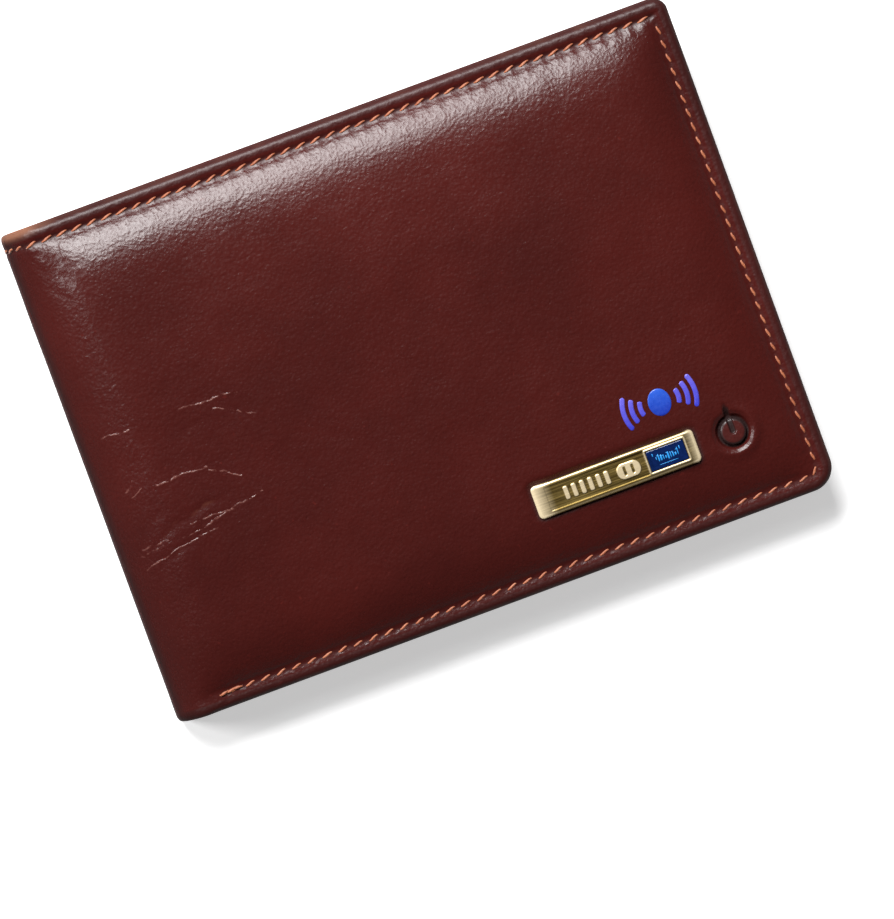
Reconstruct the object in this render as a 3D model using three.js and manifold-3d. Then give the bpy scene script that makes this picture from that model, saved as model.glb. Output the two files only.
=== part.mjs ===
// A bifold leather wallet with a tracker module in its front cover, closed.
// Millimetres. +X runs from the spine to the opening edge, +Y from the bottom edge to the top edge,
// +Z from the back cover, which lies on z = 0, to the front cover. The origin is the middle of its foot.
import * as THREE from 'three';
import { mergeVertices } from 'three/addons/utils/BufferGeometryUtils.js';
import Module from 'manifold-3d';

const wasm = await Module();
wasm.setup();

// Outline of the closed wallet
const walletWidth = 118;
const walletHeight = 87;
const bottomCornerRadius = 4.2;
const topCornerRadius = 2.2;

// Sheets and panels
const coverThickness = 1.3;
const hemThickness = 1.0;
const hemWidth = 5.0;
const liningThickness = 0.35;
const dividerThickness = 0.9;
const pocketThickness = 0.8;
const filmThickness = 0.25;
const pocketCount = 3;
const pocketStep = 11;
const dividerDrop = 6;
const panelInset = 0.8;
const frontPocketDrop = 15;
const idPanelDrop = 24;
const idFrameBorder = 10;
const idCornerRadius = 3;

// Clearances
const plyGap = 0.05;
const halvesGap = 0.6;
const fitGap = 0.3;

// Padded swell of the front cover
const crownHeight = 3.0;
const flatMargin = 3.5;
const edgeRun = 7;
const foldRun = 9;
const broadRun = 30;
const broadShare = 0.2;

// Creases
const creaseInset = 1.0;
const creaseReach = 0.95;
const dividerFoldStart = 9.5;
const pocketStart = 11;

// Stitching
const stitchInset = 2.7;
const threadWidth = 0.55;
const threadDepth = 0.3;
const bottomSeamStart = 8.9;
const bobbinHeight = 0.2;
const bobbinGap = 0.03;

// Badge
const badgeLength = 28.9;
const badgeHeight = 5.8;
const badgeThickness = 1.0;
const badgeCorner = 0.9;
const badgeBevel = 0.35;
const badgeFromOpening = 20.5;
const badgeFromBottom = 14.6;
const badgeSeatDepth = 0.1;
const windowLength = 7.3;
const windowHeight = 4.2;
const windowToBadgeEnd = 1.7;
const windowSink = 0.15;
const lensThickness = 0.5;
const prongThickness = 0.5;
const prongWidth = 1.2;
const prongY = 1.8;
const prongFromEnd = 2.6;
const clampThickness = 0.3;
const clampInset = 0.8;

// Power button
const buttonFromOpening = 14.0;
const buttonFromBottom = 14.5;
const capRadius = 2.25;
const ringRadius = 3.05;
const ledgeRadius = 2.6;
const ringDepth = 0.5;
const plungerRadius = 1.0;
const buttonTravel = 0.3;

// Tracker module
const moduleThickness = 2.6;
const moduleWall = 0.6;
const moduleFloor = 0.4;
const moduleCorner = 1.5;
const moduleEndMargin = 3.3;
const moduleSideMargin = 0.7;
const boardThickness = 0.6;
const boardClearance = 0.35;
const boardArmWidth = 13.45;
const batteryLength = 32;
const batteryWidth = 12;
const batteryThickness = 1.45;
const batteryClearance = 0.5;
const bayGap = 0.95;
const leadRoom = 6.5;
const tapeThickness = 0.12;
const socketLength = 5.0;
const socketWidth = 7.5;
const socketHeight = 2.3;
const socketWall = 0.3;
const socketFromEnd = 9.3;
const plugRoomWidth = 10;
const plugRoomLength = 12;
const leadRadius = 0.35;
const sounderRadius = 5.4;
const sounderThickness = 0.2;
const ceramicRadius = 3.8;
const ceramicThickness = 0.15;
const sounderFromWall = 3.5;
const soundHoleCount = 6;
const soundHoleRadius = 0.5;
const soundHoleCircle = 2.2;
const switchHeight = 0.6;
const switchGap = 0.1;

// Places that follow from the sizes
const spineX = -walletWidth / 2;
const openingX = walletWidth / 2;
const bottomY = -walletHeight / 2;
const topY = walletHeight / 2;

const backHemTop = coverThickness + hemThickness;
const backDividerLow = backHemTop + plyGap;
const backPocketLow = backDividerLow + dividerThickness + plyGap;
const backTop = backPocketLow + pocketCount * (pocketThickness + plyGap) - plyGap;
const idPanelLow = backTop + halvesGap;
const idFilmLow = idPanelLow + pocketThickness + plyGap;
const frontPocketLow = idFilmLow + filmThickness + plyGap;
const frontDividerLow = frontPocketLow + pocketThickness + plyGap;
const frontHemLow = frontDividerLow + dividerThickness + plyGap;
const frontEdgeLow = frontHemLow + hemThickness;
const frontEdgeTop = frontEdgeLow + coverThickness;
const frontLiningLow = frontHemLow + plyGap;
const moduleLow = frontLiningLow + liningThickness + plyGap;
const moduleTop = moduleLow + moduleThickness;

const badgeRight = openingX - badgeFromOpening;
const badgeLeft = badgeRight - badgeLength;
const badgeY = bottomY + badgeFromBottom;
const buttonX = openingX - buttonFromOpening;
const buttonY = bottomY + buttonFromBottom;

// The two creases. The front one lies further in, so that the opened front half rests on its badge.
const creaseDepth = (coverThickness + plyGap + liningThickness) / 2;
const badgeSeat = coverTop(badgeRight, badgeY - badgeHeight / 2) - badgeSeatDepth;
const badgeTop = badgeSeat + badgeThickness;
const backCrease = { x: spineX + creaseInset, z: creaseDepth };
const frontCrease = { x: backCrease.x + badgeTop - frontEdgeTop, z: frontEdgeTop - creaseDepth };
const backCoverX = backCrease.x + creaseReach;
const frontCoverX = frontCrease.x + creaseReach;

// The spine's middle line is the arc through both creases that just touches the outermost line.
function spineArc() {
  const outermost = spineX + coverThickness / 2;
  const low = backCrease.x - outermost;
  const high = frontCrease.x - outermost;
  const rise = frontCrease.z - backCrease.z;
  const lean = high / low - 1;
  const lift = (Math.sqrt(rise * rise + lean * (rise * rise + high * high - low * high)) - rise) / lean;
  const radius = (lift * lift + low * low) / (2 * low);
  return { x: outermost + radius, z: backCrease.z + lift, radius };
}

// Geometry helpers
function box(x0, x1, y0, y1, z0, z1) {
  const geometry = new THREE.BoxGeometry(x1 - x0, y1 - y0, z1 - z0);
  return geometry.translate((x0 + x1) / 2, (y0 + y1) / 2, (z0 + z1) / 2);
}

function prism(shape, z0, z1) {
  const settings = { depth: z1 - z0, bevelEnabled: false, curveSegments: 6 };
  return new THREE.ExtrudeGeometry(shape, settings).translate(0, 0, z0);
}

// A section drawn in X and Z, drawn out along Y.
function prismAlongY(section, y0, y1) {
  const settings = { depth: y1 - y0, bevelEnabled: false, curveSegments: 10 };
  return new THREE.ExtrudeGeometry(section, settings).rotateX(Math.PI / 2).translate(0, y1, 0);
}

function disc(x, y, radius, z0, z1, sides = 24) {
  const geometry = new THREE.CylinderGeometry(radius, radius, z1 - z0, sides);
  return geometry.rotateX(Math.PI / 2).translate(x, y, (z0 + z1) / 2);
}

// Only the two corners on the opening side are rounded unless others are given.
function roundedOutline(x0, x1, y0, y1, bottomRight, topRight, topLeft = 0, bottomLeft = 0) {
  const shape = new THREE.Shape();
  shape.moveTo(x0 + bottomLeft, y0);
  shape.lineTo(x1 - bottomRight, y0);
  shape.absarc(x1 - bottomRight, y0 + bottomRight, bottomRight, -Math.PI / 2, 0);
  shape.lineTo(x1, y1 - topRight);
  shape.absarc(x1 - topRight, y1 - topRight, topRight, 0, Math.PI / 2);
  shape.lineTo(x0 + topLeft, y1);
  if (topLeft > 0) {
    shape.absarc(x0 + topLeft, y1 - topLeft, topLeft, Math.PI / 2, Math.PI);
  }
  shape.lineTo(x0, y0 + bottomLeft);
  if (bottomLeft > 0) {
    shape.absarc(x0 + bottomLeft, y0 + bottomLeft, bottomLeft, Math.PI, 1.5 * Math.PI);
  }
  return shape;
}

function evenlyRounded(x0, x1, y0, y1, radius) {
  return roundedOutline(x0, x1, y0, y1, radius, radius, radius, radius);
}

function toSolid(geometry) {
  const bare = geometry.clone();
  bare.deleteAttribute('normal');
  bare.deleteAttribute('uv');
  const merged = mergeVertices(bare, 1e-5);
  const vertProperties = new Float32Array(merged.attributes.position.array);
  const triVerts = new Uint32Array(merged.index.array);
  return new wasm.Manifold(new wasm.Mesh({ numProp: 3, vertProperties, triVerts }));
}

function toGeometry(solid) {
  const mesh = solid.getMesh();
  const geometry = new THREE.BufferGeometry();
  geometry.setAttribute('position', new THREE.BufferAttribute(mesh.vertProperties, 3));
  geometry.setIndex(new THREE.BufferAttribute(mesh.triVerts, 1));
  geometry.computeVertexNormals();
  return geometry;
}

function cut(geometry, ...tools) {
  return toGeometry(tools.reduce((solid, tool) => solid.subtract(toSolid(tool)), toSolid(geometry)));
}

function join(...geometries) {
  return toGeometry(geometries.map(toSolid).reduce((whole, solid) => whole.add(solid)));
}

function common(first, second) {
  return toGeometry(toSolid(first).intersect(toSolid(second)));
}

// The swell: 0 at the flat sewn margin, rising to 1 in the middle.
function smooth(t) {
  const s = Math.min(Math.max(t, 0), 1);
  return s * s * (3 - 2 * s);
}

function swell(x, y) {
  const fromFold = x - spineX - creaseInset;
  const fromOpening = openingX - x - flatMargin;
  const fromBottom = y - bottomY - flatMargin;
  const fromTop = topY - y - flatMargin;
  const steep = smooth(fromOpening / edgeRun) * smooth(fromBottom / edgeRun) * smooth(fromTop / edgeRun);
  const broad = smooth(fromOpening / broadRun) * smooth(fromBottom / broadRun) * smooth(fromTop / broadRun);
  const foldSide = smooth((fromFold - flatMargin) / foldRun);
  return crownHeight * foldSide * ((1 - broadShare) * steep + broadShare * broad);
}

function coverTop(x, y) {
  return frontEdgeTop + swell(x, y);
}

// Grid lines across a span, close together where the swell starts and wide apart in the middle.
function gridLines(low, high) {
  const steps = [0, 3.5, 5, 6.5, 8, 9.5, 11, 14, 19, 25, 33];
  const half = (high - low) / 2;
  const near = steps.filter((step) => step < half - 2);
  const rising = near.map((step) => low + step);
  const falling = near.reverse().map((step) => high - step);
  return [...rising, (low + high) / 2, ...falling];
}

// A closed sheet between two height functions over a rectangle.
function swollenSheet(x0, x1, y0, y1, lowAt, highAt) {
  const xs = gridLines(x0, x1);
  const ys = gridLines(y0, y1);
  const layer = xs.length * ys.length;
  const at = (i, j, top) => (top ? layer : 0) + i * ys.length + j;
  const positions = [];
  for (const heightAt of [lowAt, highAt]) {
    for (const x of xs) {
      for (const y of ys) {
        positions.push(x, y, heightAt(x, y));
      }
    }
  }
  const triangles = [];
  const quad = (a, b, c, d) => triangles.push(a, b, c, a, c, d);
  const lastX = xs.length - 1;
  const lastY = ys.length - 1;
  for (let i = 0; i < lastX; i += 1) {
    for (let j = 0; j < lastY; j += 1) {
      quad(at(i, j, true), at(i + 1, j, true), at(i + 1, j + 1, true), at(i, j + 1, true));
      quad(at(i, j, false), at(i, j + 1, false), at(i + 1, j + 1, false), at(i + 1, j, false));
    }
    quad(at(i, 0, false), at(i + 1, 0, false), at(i + 1, 0, true), at(i, 0, true));
    quad(at(i + 1, lastY, false), at(i, lastY, false), at(i, lastY, true), at(i + 1, lastY, true));
  }
  for (let j = 0; j < lastY; j += 1) {
    quad(at(0, j + 1, false), at(0, j, false), at(0, j, true), at(0, j + 1, true));
    quad(at(lastX, j, false), at(lastX, j + 1, false), at(lastX, j + 1, true), at(lastX, j, true));
  }
  const geometry = new THREE.BufferGeometry();
  geometry.setAttribute('position', new THREE.Float32BufferAttribute(positions, 3));
  geometry.setIndex(triangles);
  geometry.computeVertexNormals();
  return geometry;
}

// A strip of the spine between two radii about its arc's centre, drawn out along Y.
function spineStrip(inner, outer, reach, y0, y1) {
  const arc = spineArc();
  const toBack = Math.atan2(backCrease.z - arc.z, backCrease.x - arc.x);
  const toFront = Math.atan2(frontCrease.z - arc.z, frontCrease.x - arc.x);
  const start = toFront + reach / arc.radius;
  const end = toBack + 2 * Math.PI - reach / arc.radius;
  const section = new THREE.Shape();
  section.absarc(arc.x, arc.z, arc.radius + outer, start, end);
  section.absarc(arc.x, arc.z, arc.radius + inner, end, start, true);
  return prismAlongY(section, y0, y1);
}

// The flat track of a seam round the top, opening and bottom edges, half as wide as stated each way.
function seamTrack(coverX, half, z0, z1, extra = 0) {
  const topStart = coverX + threadWidth - extra;
  const bottomStart = spineX + bottomSeamStart - extra;
  const x = openingX - stitchInset;
  const low = bottomY + stitchInset;
  const high = topY - stitchInset;
  const turn = (cornerRadius) => Math.max(cornerRadius - stitchInset, 2 * threadWidth);
  const bottomTurn = turn(bottomCornerRadius);
  const topTurn = turn(topCornerRadius);
  const track = new THREE.Shape();
  track.moveTo(bottomStart, low - half);
  track.lineTo(x - bottomTurn, low - half);
  track.absarc(x - bottomTurn, low + bottomTurn, bottomTurn + half, -Math.PI / 2, 0);
  track.lineTo(x + half, high - topTurn);
  track.absarc(x - topTurn, high - topTurn, topTurn + half, 0, Math.PI / 2);
  track.lineTo(topStart, high + half);
  track.lineTo(topStart, high - half);
  track.absarc(x - topTurn, high - topTurn, topTurn - half, Math.PI / 2, 0, true);
  track.absarc(x - bottomTurn, low + bottomTurn, bottomTurn - half, 0, -Math.PI / 2, true);
  track.lineTo(bottomStart, low + half);
  return prism(track, z0, z1);
}

// Thread on an inner face: along the bottom, then up the opening edge over the steps of the panels.
// Each level gives the face's height and the Y of that panel's top edge. way is the face's normal in Z.
function bobbinThread(levels, way) {
  const half = threadWidth / 2;
  const x = openingX - stitchInset;
  const low = bottomY + stitchInset;
  const span = (level) => {
    const near = level.z + way * bobbinGap;
    const far = near + way * bobbinHeight;
    return [Math.min(near, far), Math.max(near, far)];
  };
  const [bottomLow, bottomHigh] = span(levels[0]);
  const startX = spineX + pocketStart + fitGap;
  const pieces = [box(startX, x + half, low - half, low + half, bottomLow, bottomHigh)];
  let from = low - half;
  levels.forEach((level, i) => {
    const [z0, z1] = span(level);
    const last = i === levels.length - 1;
    const to = last ? level.top - fitGap : level.top + bobbinGap + bobbinHeight;
    pieces.push(box(x - half, x + half, from, to, z0, z1));
    if (!last) {
      const [next0, next1] = span(levels[i + 1]);
      from = level.top + bobbinGap;
      pieces.push(box(x - half, x + half, from, to, Math.min(z0, next0), Math.max(z1, next1)));
    }
  });
  return join(...pieces);
}

// The object and its materials
const wallet = new THREE.Group();
const oxblood = { color: 0x5a1f1b, roughness: 0.35, metalness: 0 };
const innerLeather = { color: 0x4e1d1a, roughness: 0.5, metalness: 0 };
const fabric = { color: 0x2c211e, roughness: 0.9, metalness: 0 };
const thread = { color: 0xc8704a, roughness: 0.7, metalness: 0 };
const foam = { color: 0x3a3a3c, roughness: 0.95, metalness: 0 };
const clearFilm = { color: 0xdfe6ea, roughness: 0.15, metalness: 0 };
const brass = { color: 0xb08a45, roughness: 0.35, metalness: 1 };
const blueLens = { color: 0x0c2e7a, roughness: 0.1, metalness: 0 };
const clearAcrylic = { color: 0xd6e8f5, roughness: 0.1, metalness: 0 };
const ledPackage = { color: 0x58c4ee, roughness: 0.3, metalness: 0 };
const blackPlastic = { color: 0x1c1d1f, roughness: 0.5, metalness: 0 };
const boardGreen = { color: 0x0d4a2c, roughness: 0.4, metalness: 0 };
const chipBlack = { color: 0x141416, roughness: 0.45, metalness: 0 };
const ceramic = { color: 0xd9d2c4, roughness: 0.4, metalness: 0 };
const steel = { color: 0xb9bcc0, roughness: 0.3, metalness: 1 };
const pouchSilver = { color: 0xa9acb0, roughness: 0.4, metalness: 0.8 };
const redWire = { color: 0xa01818, roughness: 0.5, metalness: 0 };
const blackWire = { color: 0x121212, roughness: 0.5, metalness: 0 };
const amberTape = { color: 0xb5752a, roughness: 0.6, metalness: 0 };
const whitePlastic = { color: 0xe4e2dc, roughness: 0.5, metalness: 0 };

function addPiece(name, look, geometry) {
  const mesh = new THREE.Mesh(geometry, new THREE.MeshStandardMaterial(look));
  mesh.name = name;
  wallet.add(mesh);
}

// Outline of a half's cover, and the turned-in hem along its three sewn edges
function coverOutline(coverX) {
  return roundedOutline(coverX, openingX, bottomY, topY, bottomCornerRadius, topCornerRadius);
}

function hemFrame(coverX, z0, z1) {
  const x1 = openingX - hemWidth;
  const hollow = box(coverX - hemWidth, x1, bottomY + hemWidth, topY - hemWidth, z0 - 1, z1 + 1);
  return cut(prism(coverOutline(coverX), z0, z1), hollow);
}

function liningSheet(x0, z0) {
  const margin = hemWidth + fitGap;
  return box(x0, openingX - margin, bottomY + margin, topY - margin, z0, z0 + liningThickness);
}

// A flat inner panel, sewn in at the bottom and the opening edge
function innerPanel(x0, top, z0, thickness) {
  const radius = bottomCornerRadius - panelInset;
  const outline = roundedOutline(x0, openingX - panelInset, bottomY + panelInset, top, radius, panelInset);
  return prism(outline, z0, z0 + thickness);
}

// Back half
function addBackHalf() {
  const groove = threadWidth / 2 + fitGap;
  const slab = prism(coverOutline(backCoverX), 0, coverThickness);
  const hem = hemFrame(backCoverX, coverThickness / 2, backHemTop);
  const grooveCut = seamTrack(backCoverX, groove, -1, threadDepth + plyGap + fitGap, fitGap);
  addPiece('back_cover_leather', oxblood, cut(join(slab, hem), grooveCut));
  addPiece('back_lining', fabric, liningSheet(backCoverX + 2 * coverThickness, coverThickness + plyGap));
  const dividerTop = topY - dividerDrop;
  const dividerX = spineX + dividerFoldStart;
  const divider = innerPanel(dividerX, dividerTop, backDividerLow, dividerThickness);
  addPiece('bill_divider_back', innerLeather, divider);
  const levels = [{ top: dividerTop, z: backDividerLow + dividerThickness }];
  for (let i = 0; i < pocketCount; i += 1) {
    const low = backPocketLow + i * (pocketThickness + plyGap);
    const top = dividerTop - (i + 1) * pocketStep;
    const pocket = innerPanel(spineX + pocketStart, top, low, pocketThickness);
    addPiece(`card_pocket_back_${i + 1}`, innerLeather, pocket);
    levels.unshift({ top, z: low + pocketThickness });
  }
  const needleThread = seamTrack(backCoverX, threadWidth / 2, plyGap, plyGap + threadDepth);
  addPiece('back_needle_thread', thread, needleThread);
  addPiece('back_bobbin_thread', thread, bobbinThread(levels, 1));
}

// Spine: leather, lining, the stitches that cross it at the top edge, and the divider's fold
function addSpine() {
  const half = coverThickness / 2;
  const seam = threadWidth / 2 + fitGap;
  const y = topY - stitchInset;
  const outer = half - plyGap;
  const leather = spineStrip(-half, half, creaseReach, bottomY, topY);
  const groove = spineStrip(half - threadDepth - fitGap, half + 1, 0, y - seam, y + seam);
  addPiece('spine_leather', oxblood, cut(leather, groove));
  const liningOuter = -half - plyGap;
  const margin = hemWidth + fitGap;
  const liningReach = creaseReach + coverThickness;
  const liningInner = liningOuter - liningThickness;
  const lining = spineStrip(liningInner, liningOuter, liningReach, bottomY + margin, topY - margin);
  addPiece('spine_lining', fabric, lining);
  const threadReach = creaseReach + fitGap;
  const low = y - threadWidth / 2;
  const high = y + threadWidth / 2;
  addPiece('spine_needle_thread', thread, spineStrip(outer - threadDepth, outer, threadReach, low, high));
  addPiece('bill_divider_fold', innerLeather, dividerFold());
}

function dividerFold() {
  const low = backDividerLow + dividerThickness / 2;
  const high = frontDividerLow + dividerThickness / 2;
  const radius = (high - low) / 2;
  const x1 = spineX + dividerFoldStart - fitGap;
  const x0 = x1 - 2 * dividerThickness;
  const half = dividerThickness / 2;
  const middle = (low + high) / 2;
  const section = new THREE.Shape();
  section.moveTo(x1, high + half);
  section.absarc(x0, middle, radius + half, Math.PI / 2, 1.5 * Math.PI);
  section.lineTo(x1, low - half);
  section.lineTo(x1, low + half);
  section.absarc(x0, middle, radius - half, 1.5 * Math.PI, Math.PI / 2, true);
  section.lineTo(x1, high - half);
  return prismAlongY(section, bottomY + panelInset, topY - dividerDrop);
}

// Front cover leather, swollen over the foam, with its hem, badge seat, slots, window and button hole
function frontCover() {
  const under = (x, y) => frontEdgeLow + swell(x, y);
  const sheet = swollenSheet(frontCoverX, openingX, bottomY, topY, under, coverTop);
  const outline = prism(coverOutline(frontCoverX), frontEdgeLow - 1, badgeTop + 1);
  const hem = hemFrame(frontCoverX, frontHemLow, frontEdgeLow + coverThickness / 2);
  const seamLow = frontEdgeTop - threadDepth - fitGap;
  const groove = seamTrack(frontCoverX, threadWidth / 2 + fitGap, seamLow, badgeTop, fitGap);
  const seatX0 = badgeLeft - fitGap;
  const seatX1 = badgeRight + fitGap;
  const seatHalf = badgeHeight / 2 + fitGap;
  const seatY0 = badgeY - seatHalf;
  const seatOutline = evenlyRounded(seatX0, seatX1, seatY0, badgeY + seatHalf, badgeCorner + fitGap);
  const seat = prism(seatOutline, badgeSeat - fitGap, badgeTop + 1);
  const ringFloor = coverTop(buttonX, buttonY) - ringDepth;
  const ring = disc(buttonX, buttonY, ringRadius, ringFloor, badgeTop, 32);
  const hole = disc(buttonX, buttonY, ledgeRadius, moduleTop, badgeTop, 32);
  const window = badgeWindowBlock(0, moduleTop, badgeTop);
  const slots = prongBlocks(fitGap, moduleTop, badgeTop);
  return cut(join(common(sheet, outline), hem), groove, seat, ring, hole, window, ...slots);
}

function badgeWindowBlock(inset, z0, z1) {
  const x1 = badgeRight - windowToBadgeEnd - inset;
  const x0 = badgeRight - windowToBadgeEnd - windowLength + inset;
  const half = windowHeight / 2 - inset;
  return box(x0, x1, badgeY - half, badgeY + half, z0, z1);
}

function prongBlocks(grow, z0, z1) {
  const nearWindow = badgeRight - windowToBadgeEnd - windowLength - prongFromEnd;
  const halfX = prongWidth / 2 + grow;
  const halfY = prongThickness / 2 + grow;
  const blocks = [];
  for (const x of [badgeLeft + prongFromEnd, nearWindow]) {
    for (const y of [badgeY - prongY, badgeY + prongY]) {
      blocks.push(box(x - halfX, x + halfX, y - halfY, y + halfY, z0, z1));
    }
  }
  return blocks;
}

function badgePlate() {
  const inset = badgeBevel;
  const halfY = badgeHeight / 2 - inset;
  const x0 = badgeLeft + inset;
  const x1 = badgeRight - inset;
  const outline = evenlyRounded(x0, x1, badgeY - halfY, badgeY + halfY, badgeCorner - inset);
  const settings = {
    depth: badgeThickness - inset,
    bevelThickness: inset,
    bevelSize: inset,
    bevelSegments: 2,
    curveSegments: 4,
  };
  const slab = new THREE.ExtrudeGeometry(outline, settings).translate(0, 0, badgeSeat);
  const below = badgeSeat - 1;
  const flatFoot = box(badgeLeft, badgeRight, badgeY - badgeHeight, badgeY + badgeHeight, below, badgeSeat);
  const body = cut(slab, flatFoot, badgeWindowBlock(0, badgeSeat - 1, badgeTop + 1));
  return join(body, ...prongBlocks(0, moduleTop + plyGap, badgeSeat + badgeThickness / 2));
}

function clampPlate() {
  const x0 = badgeLeft + clampInset;
  const x1 = badgeRight - clampInset;
  const half = badgeHeight / 2 - clampInset / 2;
  const low = moduleTop + 2 * plyGap;
  const plate = box(x0, x1, badgeY - half, badgeY + half, low, low + clampThickness);
  return cut(plate, badgeWindowBlock(0, low - 1, low + 1), ...prongBlocks(fitGap, low - 1, low + 1));
}

// Front half
function addFrontHalf() {
  addPiece('front_cover_leather', oxblood, frontCover());
  addPiece('front_foam_pad', foam, foamPad());
  const slitX0 = socketX - plugRoomWidth / 2;
  const slitX1 = socketX + plugRoomWidth / 2;
  const slitY0 = moduleY1 + 1;
  const slit = box(slitX0, slitX1, slitY0, slitY0 + socketLength, frontLiningLow - 1, moduleLow);
  const lining = liningSheet(frontCoverX + 2 * coverThickness, frontLiningLow);
  addPiece('front_lining', fabric, cut(lining, slit));
  const dividerTop = topY - dividerDrop;
  const dividerX = spineX + dividerFoldStart;
  const divider = innerPanel(dividerX, dividerTop, frontDividerLow, dividerThickness);
  addPiece('bill_divider_front', innerLeather, divider);
  const pocketTop = topY - frontPocketDrop;
  const pocketX = spineX + pocketStart;
  const pocket = innerPanel(pocketX, pocketTop, frontPocketLow, pocketThickness);
  addPiece('card_pocket_front', innerLeather, pocket);
  addIdWindow(pocketX);
  const threadTop = frontEdgeTop - fitGap / 2;
  const needleThread = seamTrack(frontCoverX, threadWidth / 2, threadTop - threadDepth, threadTop);
  addPiece('front_needle_thread', thread, needleThread);
  const levels = [
    { top: topY - idPanelDrop, z: idPanelLow },
    { top: pocketTop, z: frontPocketLow },
    { top: dividerTop, z: frontDividerLow },
  ];
  addPiece('front_bobbin_thread', thread, bobbinThread(levels, -1));
}

function addIdWindow(pocketX) {
  const x0 = pocketX + idFrameBorder;
  const x1 = openingX - idFrameBorder;
  const y0 = bottomY + idFrameBorder;
  const y1 = topY - idPanelDrop - idFrameBorder;
  const opening = prism(evenlyRounded(x0, x1, y0, y1, idCornerRadius), idPanelLow - 1, idFilmLow + 1);
  const panel = innerPanel(pocketX, topY - idPanelDrop, idPanelLow, pocketThickness);
  addPiece('id_window_frame', innerLeather, cut(panel, opening));
  const lap = idFrameBorder / 2;
  const film = box(x0 - lap, x1 + lap, y0 - lap, y1 + lap, idFilmLow, idFilmLow + filmThickness);
  addPiece('id_window_film', clearFilm, film);
}

// The foam is cut from a sheet on the cover's own grid lines, so that the two follow each other.
function foamPad() {
  const margin = hemWidth + fitGap;
  const top = (x, y) => frontEdgeLow + swell(x, y) - plyGap;
  const sheet = swollenSheet(frontCoverX, openingX, bottomY, topY, () => moduleLow, top);
  const x0 = frontCoverX + hemWidth;
  const edges = box(x0, openingX - margin, bottomY + margin, topY - margin, moduleLow - 1, badgeTop);
  const pad = common(sheet, edges);
  const module = box(
    moduleX0 - fitGap, moduleX1 + fitGap, moduleY0 - fitGap, moduleY1 + fitGap, moduleLow - 1, badgeTop,
  );
  const plugX0 = socketX - plugRoomWidth / 2;
  const plugX1 = socketX + plugRoomWidth / 2;
  const plugRoom = box(plugX0, plugX1, moduleY1, moduleY1 + plugRoomLength, moduleLow - 1, moduleTop);
  return cut(pad, module, plugRoom);
}

// Badge pieces under and in the plate
function addBadge() {
  addPiece('badge_plate', brass, badgePlate());
  addPiece('badge_clamp_plate', steel, clampPlate());
  const lensTop = badgeTop - windowSink;
  addPiece('badge_window', blueLens, badgeWindowBlock(fitGap, lensTop - lensThickness, lensTop));
  const guideInset = fitGap + plyGap;
  const guideTop = lensTop - lensThickness - plyGap;
  addPiece('light_guide', clearAcrylic, badgeWindowBlock(guideInset, moduleTop + plyGap, guideTop));
}

// Tracker module
// The case is as long and wide as its bays: the battery above, the sounder and the board's strip below.
const moduleX1 = buttonX + moduleEndMargin;
const batteryX1 = moduleX1 - moduleWall - boardClearance - boardArmWidth - leadRoom;
const moduleX0 = batteryX1 - batteryLength - batteryClearance - moduleWall;
const moduleY0 = badgeY - badgeHeight / 2 - moduleSideMargin;
const floorTop = moduleLow + moduleFloor;
const lidLow = moduleTop - moduleFloor;
const boardLow = floorTop + plyGap;
const boardTop = boardLow + boardThickness;
const partLow = boardTop + plyGap;
const boardX1 = moduleX1 - moduleWall - boardClearance;
const boardY0 = moduleY0 + moduleWall + boardClearance;
const boardStepY = boardY0 + 2 * sounderRadius + 0.2;
const batteryY0 = boardStepY + bayGap;
const moduleY1 = batteryY0 + batteryWidth + batteryClearance + moduleWall;
const boardY1 = moduleY1 - moduleWall - boardClearance;
const boardArmX = boardX1 - boardArmWidth;
const sounderX = moduleX0 + moduleWall + sounderFromWall + sounderRadius;
const sounderY = boardY0 + sounderRadius;
const boardX0 = sounderX + sounderRadius + 5 * bayGap;
const socketX = moduleX1 - socketFromEnd;
const connectorX = boardArmX + 1.1;

function addModule() {
  const halfNotch = socketWidth / 2 + fitGap;
  const notchY = moduleY1 - socketLength - fitGap;
  const notchX0 = socketX - halfNotch;
  const notchX1 = socketX + halfNotch;
  const notch = box(notchX0, notchX1, notchY, moduleY1 + 1, moduleLow - 1, moduleTop + 1);
  const outline = evenlyRounded(moduleX0, moduleX1, moduleY0, moduleY1, moduleCorner);
  const shell = prism(outline, moduleLow, lidLow - plyGap);
  const inside = box(
    moduleX0 + moduleWall, moduleX1 - moduleWall,
    moduleY0 + moduleWall, moduleY1 - moduleWall,
    floorTop, moduleTop,
  );
  const soundHoles = [];
  for (let i = 0; i < soundHoleCount; i += 1) {
    const angle = (2 * Math.PI * i) / soundHoleCount;
    const x = sounderX + soundHoleCircle * Math.cos(angle);
    const y = sounderY + soundHoleCircle * Math.sin(angle);
    soundHoles.push(disc(x, y, soundHoleRadius, moduleLow - 1, floorTop + 1, 10));
  }
  addPiece('module_case_bottom', blackPlastic, cut(shell, inside, notch, ...soundHoles));
  const lid = prism(outline, lidLow, moduleTop);
  const lightHole = badgeWindowBlock(0, lidLow - 1, moduleTop + 1);
  const plungerHole = disc(buttonX, buttonY, plungerRadius + fitGap, lidLow - 1, moduleTop + 1);
  addPiece('module_case_top', blackPlastic, cut(lid, notch, lightHole, plungerHole));
  addBoard(halfNotch, notchY);
  addBattery(notchY);
  addSounder();
  addSocket();
}

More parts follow.
